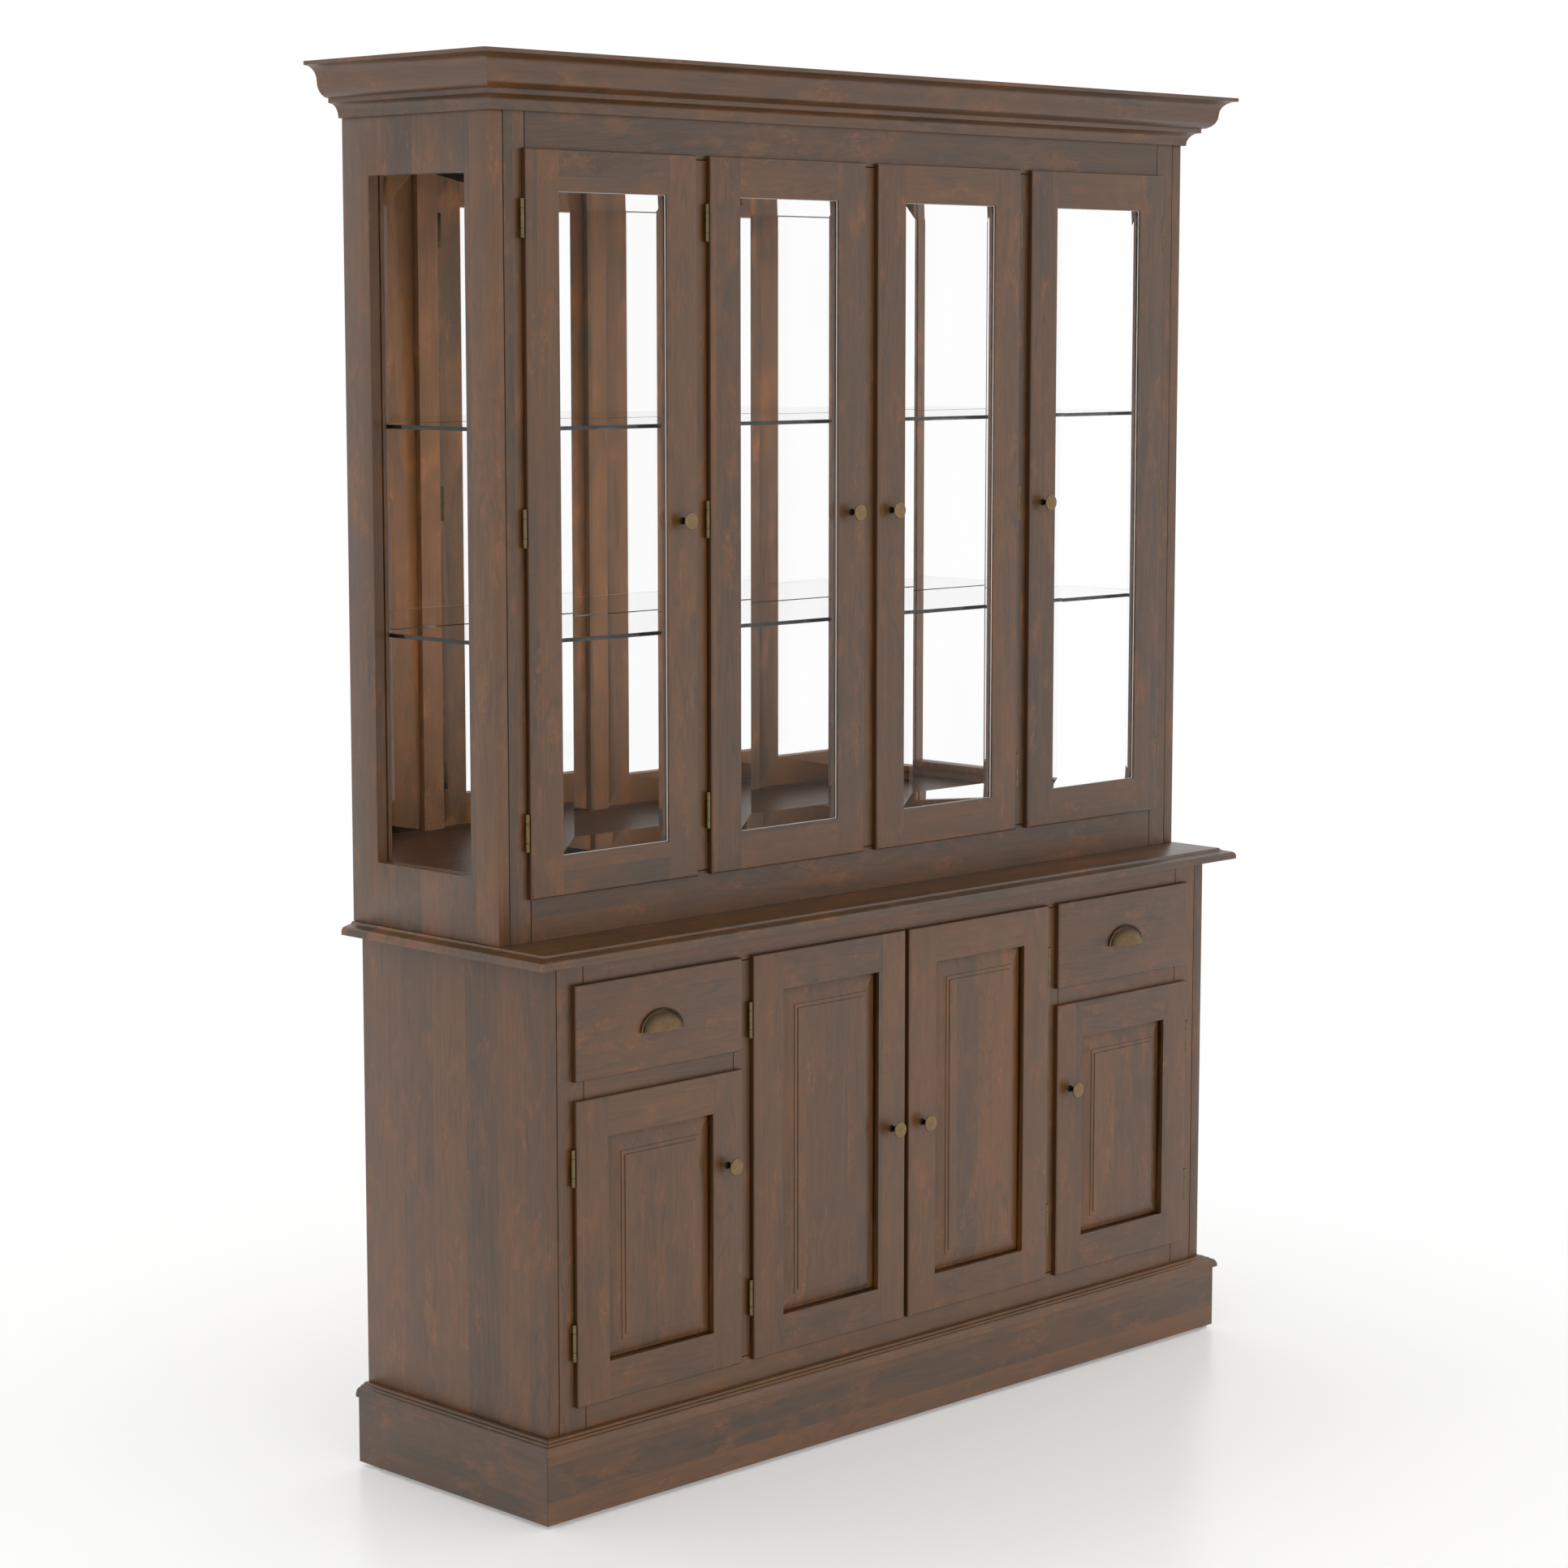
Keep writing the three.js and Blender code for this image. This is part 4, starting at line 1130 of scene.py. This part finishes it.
@dataclass
class Hinge:
    """The knuckles and the back leaf of a face mounted hinge."""

    radius: float = 0.00342
    length: float = 0.0565
    end_share: float = 0.24
    gap: float = 0.0004
    chamfer: float = 0.00035
    leaf_width: float = 0.010
    leaf_thickness: float = 0.0011
    leaf_inset: float = 0.0028
    leaf_sunk: float = 0.0002
    screw_rise: float = 0.016
    screw_sunk: float = 0.0001
    screw: tuple[tuple[float, float], ...] = (
        (0.0026, 0.0), (0.0026, 0.0002), (0.0022, 0.0006), (0.0012, 0.0009))

    def knuckle(self, x: float, y: float, low: float, high: float) -> Part:
        """Turns one knuckle with chamfered ends.

        Args:
            x: The hinge line's place across.
            y: The hinge line's depth.
            low: The knuckle's lower end.
            high: Its upper end.

        Returns:
            The knuckle.
        """
        small = self.radius - self.chamfer
        piece = turned("knuckle", [(small, low), (self.radius, low + self.chamfer),
                                   (self.radius, high - self.chamfer), (small, high)], 28)
        piece.location = (x, y, 0.0)
        settle(piece)
        return piece

    def leaf(self, edge: float, away: int, back: float, centre: float) -> Part:
        """Makes the leaf on the back of a door, with two screw heads.

        Args:
            edge: The door's rear edge on the hinge side.
            away: The direction from that edge into the door.
            back: The depth of the door's back face.
            centre: The hinge's height.

        Returns:
            The leaf.
        """
        near = edge + away * self.leaf_inset
        far = near + away * self.leaf_width
        half, top = self.length / 2.0, back + self.leaf_thickness
        parts = [slab("leaf", Vector((min(near, far), back - self.leaf_sunk, centre - half)),
                      Vector((max(near, far), top, centre + half)))]
        for rise in (-self.screw_rise, self.screw_rise):
            head = turned("screw", self.screw, 20)
            head.rotation_euler = (-QUARTER_TURN, 0.0, 0.0)
            head.location = ((near + far) / 2.0, top - self.screw_sunk, centre + rise)
            settle(head)
            parts.append(head)
        return joined("leaf", parts)

    def hang(self, door: "Door") -> None:
        """Hangs a door on its hinges.

        Args:
            door: The door.
        """
        fixed: list[Part] = []
        moving: list[Part] = []
        side = door.hinge_side
        line = (door.edge + side * door.barrel_out, door.face - door.barrel_front)
        rear_edge = door.edge - side * door.outer_lap - side * door.clearance
        half, end = self.length / 2.0, self.length * self.end_share
        for centre in door.hinge_centres:
            low, high = centre - half, centre + half
            fixed.append(self.knuckle(*line, low, low + end))
            fixed.append(self.knuckle(*line, high - end, high))
            moving.append(self.knuckle(*line, low + end + self.gap, high - end - self.gap))
            moving.append(self.leaf(rear_edge, -side, door.face + door.rear, centre))
        for name, parts, carrier in (("fixed", fixed, CARCASS), ("moving", moving, door.body)):
            piece = joined(f"{door.body}_hinges_{name}", parts)
            smooth(piece, 40.0)
            dress(piece, HINGE_BRASS)
            stand_for(piece, carrier, "brass")


@dataclass
class Glide:
    """A round nylon glide under a corner of the plinth, by its shares of radius and height."""

    profile: tuple[tuple[float, float], ...] = (
        (0.86, 0.0), (0.96, 0.07), (1.0, 0.22), (1.0, 0.52), (0.93, 0.60), (0.93, 1.0))

    def place(self, node: str) -> None:
        """Puts a glide in the place of its node.

        Args:
            node: The glide's node.
        """
        low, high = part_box(node)
        radius, top = (high.x - low.x) / 2.0, high.z - low.z
        stations = [(radius * wide, top * up) for wide, up in self.profile]
        piece = turned(f"{node}_turned", stations, 40)
        piece.location = ((low.x + high.x) / 2.0, (low.y + high.y) / 2.0, low.z)
        settle(piece)
        smooth(piece, 40.0)
        dress(piece, NYLON)
        stand_for(piece, CARCASS, "glide", node)


# Case and fronts


@dataclass
class Base:
    """The cupboard below: sides, face frame, inner boards, plinth and worktop."""

    face: float = -0.1914
    brass_gap: float = 0.0005
    frame_half: float = 0.6875
    short_inner: float = 0.380
    opening_floor: float = 0.1755
    drawer_rail_low: float = 0.627
    drawer_rail_high: float = 0.6685
    opening_top: float = 0.8005

    def build(self) -> None:
        """Makes and dresses the base's boards."""
        for seed, side in enumerate(SIDES):
            node = f"base_side_{side}"
            board(node, f"{node}_board", WoodFinish(
                f"wood_{node}", Grain.UPRIGHT_SIDE, 0.072, 3.1 + seed, contrast=0.54, tone=0.52),
                bevel=0.0006)
        rails = (
            Region(-FAR, self.frame_half, self.opening_top, FAR),
            Region(-FAR, self.frame_half, -FAR, self.opening_floor),
            Region(self.short_inner, self.frame_half, self.drawer_rail_low, self.drawer_rail_high),
        )
        board("base_face_frame", "base_face_frame_boards", WoodFinish(
            "wood_base_frame", Grain.UPRIGHT, 0.075, 5.3, rails=rails, mirrored=True, tone=0.60,
            contrast=0.34, brass_before=self.face - self.brass_gap), degrees=0.0)
        self.mouldings()
        for side in SIDES:
            node = f"base_partition_{side}"
            dress_solids(WoodFinish(f"wood_{node}", Grain.UPRIGHT_SIDE, 0.09, 9.1, gloss=0.5), node)
        dress_solids(WoodFinish("wood_base_shelves", Grain.FLAT, 0.09, 11.7, gloss=0.5),
                     "base_bottom", "base_shelf_left", "base_shelf_centre", "base_shelf_right")
        dress_solids(WoodFinish("wood_base_back", Grain.UPRIGHT, 0.13, 12.9, gloss=0.55),
                     "base_back")

    def mouldings(self) -> None:
        """Makes the worktop and the three plinth boards with their caps."""
        board("countertop", "worktop_board", WoodFinish(
            "wood_worktop", Grain.FLAT, 0.050, 21.3, gloss=0.36, contrast=1.00, tone=0.53),
            bevel=0.0008, degrees=24.0)
        for side, grain, seed, contrast in (("front", Grain.ACROSS, 23.9, 0.85),
                                            ("left", Grain.DEEP, 25.0, 0.80),
                                            ("right", Grain.DEEP, 26.0, 0.80)):
            node = f"plinth_{side}"
            board(node, f"{node}_board", WoodFinish(f"wood_{node}", grain, 0.058, seed,
                                                    contrast=contrast), bevel=0.0005, degrees=24.0)


@dataclass
class Hutch:
    """The glazed case above: sides with windows, face frame, crown, shelves and mirror."""

    face: float = -0.1084
    brass_gap: float = 0.0005
    half: float = 0.778
    inner_half: float = 0.756
    frame_half: float = 0.715
    floor_top: float = 0.932
    ceiling: float = 2.014
    peg_gap: float = 0.0004
    side_middle: float = 0.06745
    peg_reach: float = 0.1254
    glass_arris: float = 0.0006
    gleam_height: float = 0.0024

    def build(self) -> None:
        """Makes and dresses the hutch's boards and glass."""
        pegs = (self.inner_half - self.peg_gap, self.side_middle, self.peg_reach)
        for seed, side in enumerate(SIDES):
            node = f"hutch_side_{side}"
            board(node, f"{node}_board", WoodFinish(
                f"wood_{node}", Grain.UPRIGHT_SIDE, 0.066, 31.7 + seed, brass_pegs=pegs),
                bevel=0.0005)
        rails = (Region(-FAR, self.frame_half, self.ceiling, FAR),
                 Region(-FAR, self.frame_half, -FAR, self.floor_top))
        board("hutch_face_frame", "hutch_face_frame_boards", WoodFinish(
            "wood_hutch_frame", Grain.UPRIGHT, 0.080, 35.1, rails=rails, mirrored=True, tone=0.38,
            brass_before=self.face - self.brass_gap), degrees=0.0)
        board("crown", "crown_moulding", WoodFinish(
            "wood_crown", Grain.ACROSS, 0.30, 41.1, mitre=(self.half, self.face), tone=0.38),
            bevel=0.0004, degrees=26.0)
        dress_solids(WoodFinish("wood_hutch_top", Grain.FLAT, 0.085, 43.3), "hutch_top")
        # The hutch floor takes the stain darkened as painted shade.
        dress_solids(WoodFinish("wood_hutch_floor", Grain.FLAT, 0.085, 43.3, gloss=0.36, bend=1.18,
                                stain=PAINTED_SHADE_STAIN), "hutch_floor")
        dress_solids(WoodFinish("wood_hutch_back", Grain.UPRIGHT, 0.13, 45.9, gloss=0.55,
                                lit_through=True), "hutch_back")
        dress_solids(MIRROR, "hutch_mirror")
        dress_solids(SIDE_GLASS, "side_glass_left", "side_glass_right")
        edge = self.glass_arris
        for node in ("glass_shelf_lower", "glass_shelf_upper"):
            low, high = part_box(node)
            face = Region(low.x + edge, high.x - edge, low.y + edge, high.y - edge)
            dress_solids(GlassFinish(f"{node}_clear", face=face,
                                     edge_middle=low.z + self.gleam_height), node)


@dataclass
class Door:
    """A lipped door on the face frame: stiles and rails, infill, knob and hinges."""

    body: str
    left: float
    right: float
    low: float
    high: float
    face: float
    hinge_side: int
    hinge_centres: tuple[float, ...]
    glazed: bool
    seed: float
    stile: float = 0.0625
    rail: float = 0.0605
    outer_lap: float = 0.0065
    clearance: float = 0.0018
    rear: float = 0.011
    leaf_gap: float = 0.0002
    barrel_out: float = 0.0040
    barrel_front: float = 0.0055
    bevel: float = 0.026
    narrower: float = 0.0020
    shorter: float = 0.0064
    steeper: float = 0.0013
    forward: float = 0.0055
    seal_width: float = 0.0011
    seal_depth: tuple[float, float] = (0.0031, 0.0060)
    field: float = 0.03645
    bead: float = 0.0022

    @property
    def edge(self) -> float:
        """The edge on the hinge side."""
        return self.left if self.hinge_side < 0 else self.right

    @property
    def sight(self) -> Region:
        """The opening between the stiles and rails."""
        return Region(self.left + self.stile, self.right - self.stile,
                      self.low + self.rail, self.high - self.rail)

    def frame(self) -> None:
        """Makes the stiles and rails."""
        node, sight = f"{self.body}_frame", self.sight
        rails = (Region(sight.left, sight.right, sight.high, FAR),
                 Region(sight.left, sight.right, -FAR, sight.low))
        rim = Region(self.left, self.right, self.low, self.high)
        leaf = self.edge + self.hinge_side * self.leaf_gap
        # The rim line darkens the door's outer edge faces as painted shade.
        board(node, f"{node}_boards", WoodFinish(
            f"wood_{self.body}", Grain.UPRIGHT, 0.085, self.seed, rails=rails, seams=Seams(rim),
            tone=0.41 if self.glazed else 0.49, brass_beyond=(leaf, self.hinge_side)),
            self.body, degrees=20.0)

    def pane(self) -> None:
        """Makes the bevelled pane."""
        node = f"{self.body}_glass"
        pane = finishing_copy(node, f"{node}_pane", 0.0, 0.0)
        low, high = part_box(node)
        half = ((high.x - low.x) / 2.0 - self.bevel, (high.z - low.z) / 2.0 - self.bevel)
        draw_in(pane, half, (-self.narrower, -self.shorter), self.steeper)
        pane.location = (0.0, -self.forward, 0.0)
        settle(pane)
        dress(pane, DOOR_GLASS)
        stand_for(pane, self.body, "glass", node)

    def seal(self) -> None:
        """Runs a slim pale seal round the pane."""
        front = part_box(f"{self.body}_frame")[0].y
        near, far = (front + depth for depth in self.seal_depth)
        sight, wide = self.sight, self.seal_width
        strips = [slab("seal", Vector((x, near, sight.low)), Vector((x + wide, far, sight.high)))
                  for x in (sight.left, sight.right - wide)]
        strips += [slab("seal", Vector((sight.left + wide, near, z)),
                        Vector((sight.right - wide, far, z + wide)))
                   for z in (sight.low, sight.high - wide)]
        piece = joined(f"{self.body}_glass_seal", strips)
        dress(piece, RUBBER)
        stand_for(piece, self.body, "glass")

    def panel(self) -> None:
        """Makes the raised panel."""
        node, sight = f"{self.body}_panel", self.sight
        panel = finishing_copy(node, f"{node}_board", 0.0, 8.0)
        half = ((sight.right - sight.left) / 2.0 - self.field,
                (sight.high - sight.low) / 2.0 - self.field)
        draw_in(panel, half, (self.bead, self.bead))
        # Two painted shade lines where the raised field's grooves lie.
        seams = Seams(sight, insets=(0.0275, 0.0343), width=0.0009, share=0.60)
        dress(panel, WoodFinish(f"wood_{node}", Grain.UPRIGHT, 0.050, self.seed + 0.57,
                                seams=seams, contrast=0.50, tone=0.59))
        stand_for(panel, self.body, "wood", node)

    def build(self, knob: Knob, hinge: Hinge) -> None:
        """Makes the door's pieces.

        Args:
            knob: The knob that is copied.
            hinge: The hinge that it hangs on.
        """
        self.frame()
        if self.glazed:
            self.pane()
            self.seal()
        else:
            self.panel()
        knob.place(self.body)
        hinge.hang(self)


def hutch_doors() -> list[Door]:
    """Lists the four glazed doors.

    Returns:
        The doors, from left to right.
    """
    width, pitch, start, lap = 0.326375, 0.367875, -0.715, 0.0065
    doors = []
    for order, name in enumerate(("outer_left", "inner_left", "inner_right", "outer_right")):
        left = start + order * pitch
        doors.append(Door(
            f"hutch_door_{name}", left=left - lap, right=left + width + lap, low=0.9255,
            high=2.0205, face=Hutch.face, hinge_side=-1 if order < 2 else 1,
            hinge_centres=(1.0255, 1.473, 1.9205), glazed=True, seed=51.3 + order * 1.37))
    return doors


def base_doors() -> list[Door]:
    """Lists the four panelled doors below.

    Returns:
        The doors, from left to right.
    """
    doors = []
    for name, left, right, high, side, seed, outer_lap in (
            ("short_door_left", -0.7105, -0.370, 0.6335, -1, 61.9, 0.023),
            ("tall_door_left", -0.3445, -0.0045, 0.807, -1, 63.2, Door.outer_lap),
            ("tall_door_right", 0.0045, 0.3445, 0.807, 1, 65.8, Door.outer_lap),
            ("short_door_right", 0.370, 0.7105, 0.6335, 1, 67.1, 0.023)):
        doors.append(Door(
            name, left, right, low=0.169, high=high, face=Base.face, hinge_side=side,
            hinge_centres=(0.269, high - 0.1), glazed=False, seed=seed, outer_lap=outer_lap))
    return doors


@dataclass
class Drawer:
    """A drawer with a lipped front, a box and a cup pull."""

    body: str
    seed: float

    def build(self, pull: CupPull) -> None:
        """Makes the drawer's pieces.

        Args:
            pull: The pull that is copied.
        """
        node = f"{self.body}_front"
        low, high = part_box(node)
        # A painted shade line darkens the front's outer edge faces.
        board(node, f"{node}_board", WoodFinish(
            f"wood_{node}", Grain.ACROSS, 0.30, self.seed,
            seams=Seams(Region(low.x, high.x, low.z, high.z))), self.body, degrees=20.0)
        node = f"{self.body}_box"
        dress_solids(WoodFinish(f"wood_{node}", Grain.DEEP, 0.12, self.seed + 3.3, gloss=0.5), node)
        pull.place(self.body)


# Studio


@dataclass(frozen=True)
class Lamp:
    """A large soft square lamp that faces the dresser."""

    name: str
    spot: tuple[float, float, float]
    power: float
    size: float = 3.0
    aim: tuple[float, float, float] = (0.0, 0.0, 1.0)

    def hang(self) -> None:
        """Hangs the lamp, hidden from the camera and from mirrors."""
        light = bpy.data.lights.new(self.name, "AREA")
        light.shape = "SQUARE"
        light.size = self.size
        light.energy = self.power
        lamp = bpy.data.objects.new(self.name, light)
        bpy.context.scene.collection.objects.link(lamp)
        lamp.location = self.spot
        beam = Vector(self.aim) - Vector(self.spot)
        lamp.rotation_euler = beam.to_track_quat("-Z", "Y").to_euler()
        lamp.visible_glossy = False
        lamp.visible_camera = False


@dataclass
class Studio:
    """A pale floor, soft even light and the camera."""

    camera_spot: tuple[float, float, float] = (-4.2157, -4.1513, 1.7712)
    yaw: float = 44.896
    pitch: float = -7.199
    lens: float = 83.9
    floor_half: float = 30.0
    floor_gloss: float = 0.28
    floor_fade: tuple[float, float] = (0.65, 2.15)
    floor_glow: float = 0.23
    floor_colour: Colour = (0.985, 0.985, 0.98, 1.0)
    dust_colour: Colour = (0.975, 0.975, 0.97, 1.0)
    light_colour: Colour = (1.0, 0.995, 0.985, 1.0)
    lamps: tuple[Lamp, ...] = (
        Lamp("front_softbox", (-1.5, -4.5, 1.85), 12.3),
        Lamp("top_softbox", (0.5, -0.5, 4.8), 4.5),
    )

    def floor(self) -> None:
        """Lays the floor, which fades to white away from the dresser."""
        start_clean()
        bpy.ops.mesh.primitive_plane_add(size=self.floor_half * 2.0, location=(0.0, 0.0, 0.0))
        floor = bpy.context.object
        floor.name = "floor"
        recipe = Recipe(bpy.data.materials.new("studio_floor"))
        place = recipe.place()
        spot = recipe.vector(place["x"], place["y"], 0.0)
        ground = recipe.add("VectorMath", {0: spot}, operation="LENGTH")
        far = Value(recipe, ground.outputs["Value"]).ease(*self.floor_fade)
        glow = far * (1.0 - self.floor_glow) + self.floor_glow
        dust = recipe.noise(spot, Noise.DUST)
        colour = recipe.blend(dust, self.floor_colour, self.dust_colour)
        matt = recipe.add("BsdfPrincipled", {"Base Color": colour, "Roughness": self.floor_gloss})
        white = recipe.add("Emission", {"Color": WHITE, "Strength": 1.0})
        finish = recipe.surface(recipe.mix(glow, matt, white))
        finish.cycles.emission_sampling = "NONE"
        floor.data.materials.append(finish)

    def world(self) -> None:
        """Surrounds the dresser with white."""
        world = bpy.data.worlds.new("studio")
        bpy.context.scene.world = world
        world.cycles.sampling_method = "NONE"
        recipe = Recipe(world)
        seen = recipe.add("Background", {"Color": WHITE, "Strength": 1.0})
        lit = recipe.add("Background", {"Color": self.light_colour, "Strength": 1.0})
        soft_ray = recipe.add("LightPath").outputs["Is Diffuse Ray"]
        recipe.surface(recipe.mix(soft_ray, seen, lit))

    def camera(self) -> None:
        """Sets the camera to the photograph's angle."""
        lens = bpy.data.cameras.new("camera")
        lens.sensor_fit = "HORIZONTAL"
        lens.sensor_width = 36.0
        lens.lens = self.lens
        lens.clip_start = 0.1
        lens.clip_end = 200.0
        camera = bpy.data.objects.new("camera", lens)
        bpy.context.scene.collection.objects.link(camera)
        camera.location = self.camera_spot
        camera.rotation_euler = (math.radians(90.0 + self.pitch), 0.0, math.radians(-self.yaw))
        bpy.context.scene.camera = camera

    def build(self) -> None:
        """Makes the floor, the light and the camera."""
        bpy.context.scene.view_settings.view_transform = "Standard"
        self.floor()
        self.world()
        for lamp in self.lamps:
            lamp.hang()
        self.camera()
        LOG.info("studio ready")


def main() -> None:
    """Builds the studio and the dresser in order."""
    logging.basicConfig(level=logging.INFO, format="%(name)s: %(message)s")
    Studio().build()
    Base().build()
    Hutch().build()
    knob, pull = Knob(), CupPull()
    knob.build()
    for door in hutch_doors() + base_doors():
        door.build(knob, Hinge())
    pull.build()
    for order, side in enumerate(SIDES):
        Drawer(f"drawer_{side}", 71.3 + order * 1.9).build(pull)
    for corner in ("front_left", "front_right", "back_left", "back_right"):
        Glide().place(f"glide_{corner}")
    for master in (knob.master, pull.master):
        bpy.data.objects.remove(master)
    start_clean()
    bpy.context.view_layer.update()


if __name__ == "__main__":
    main()
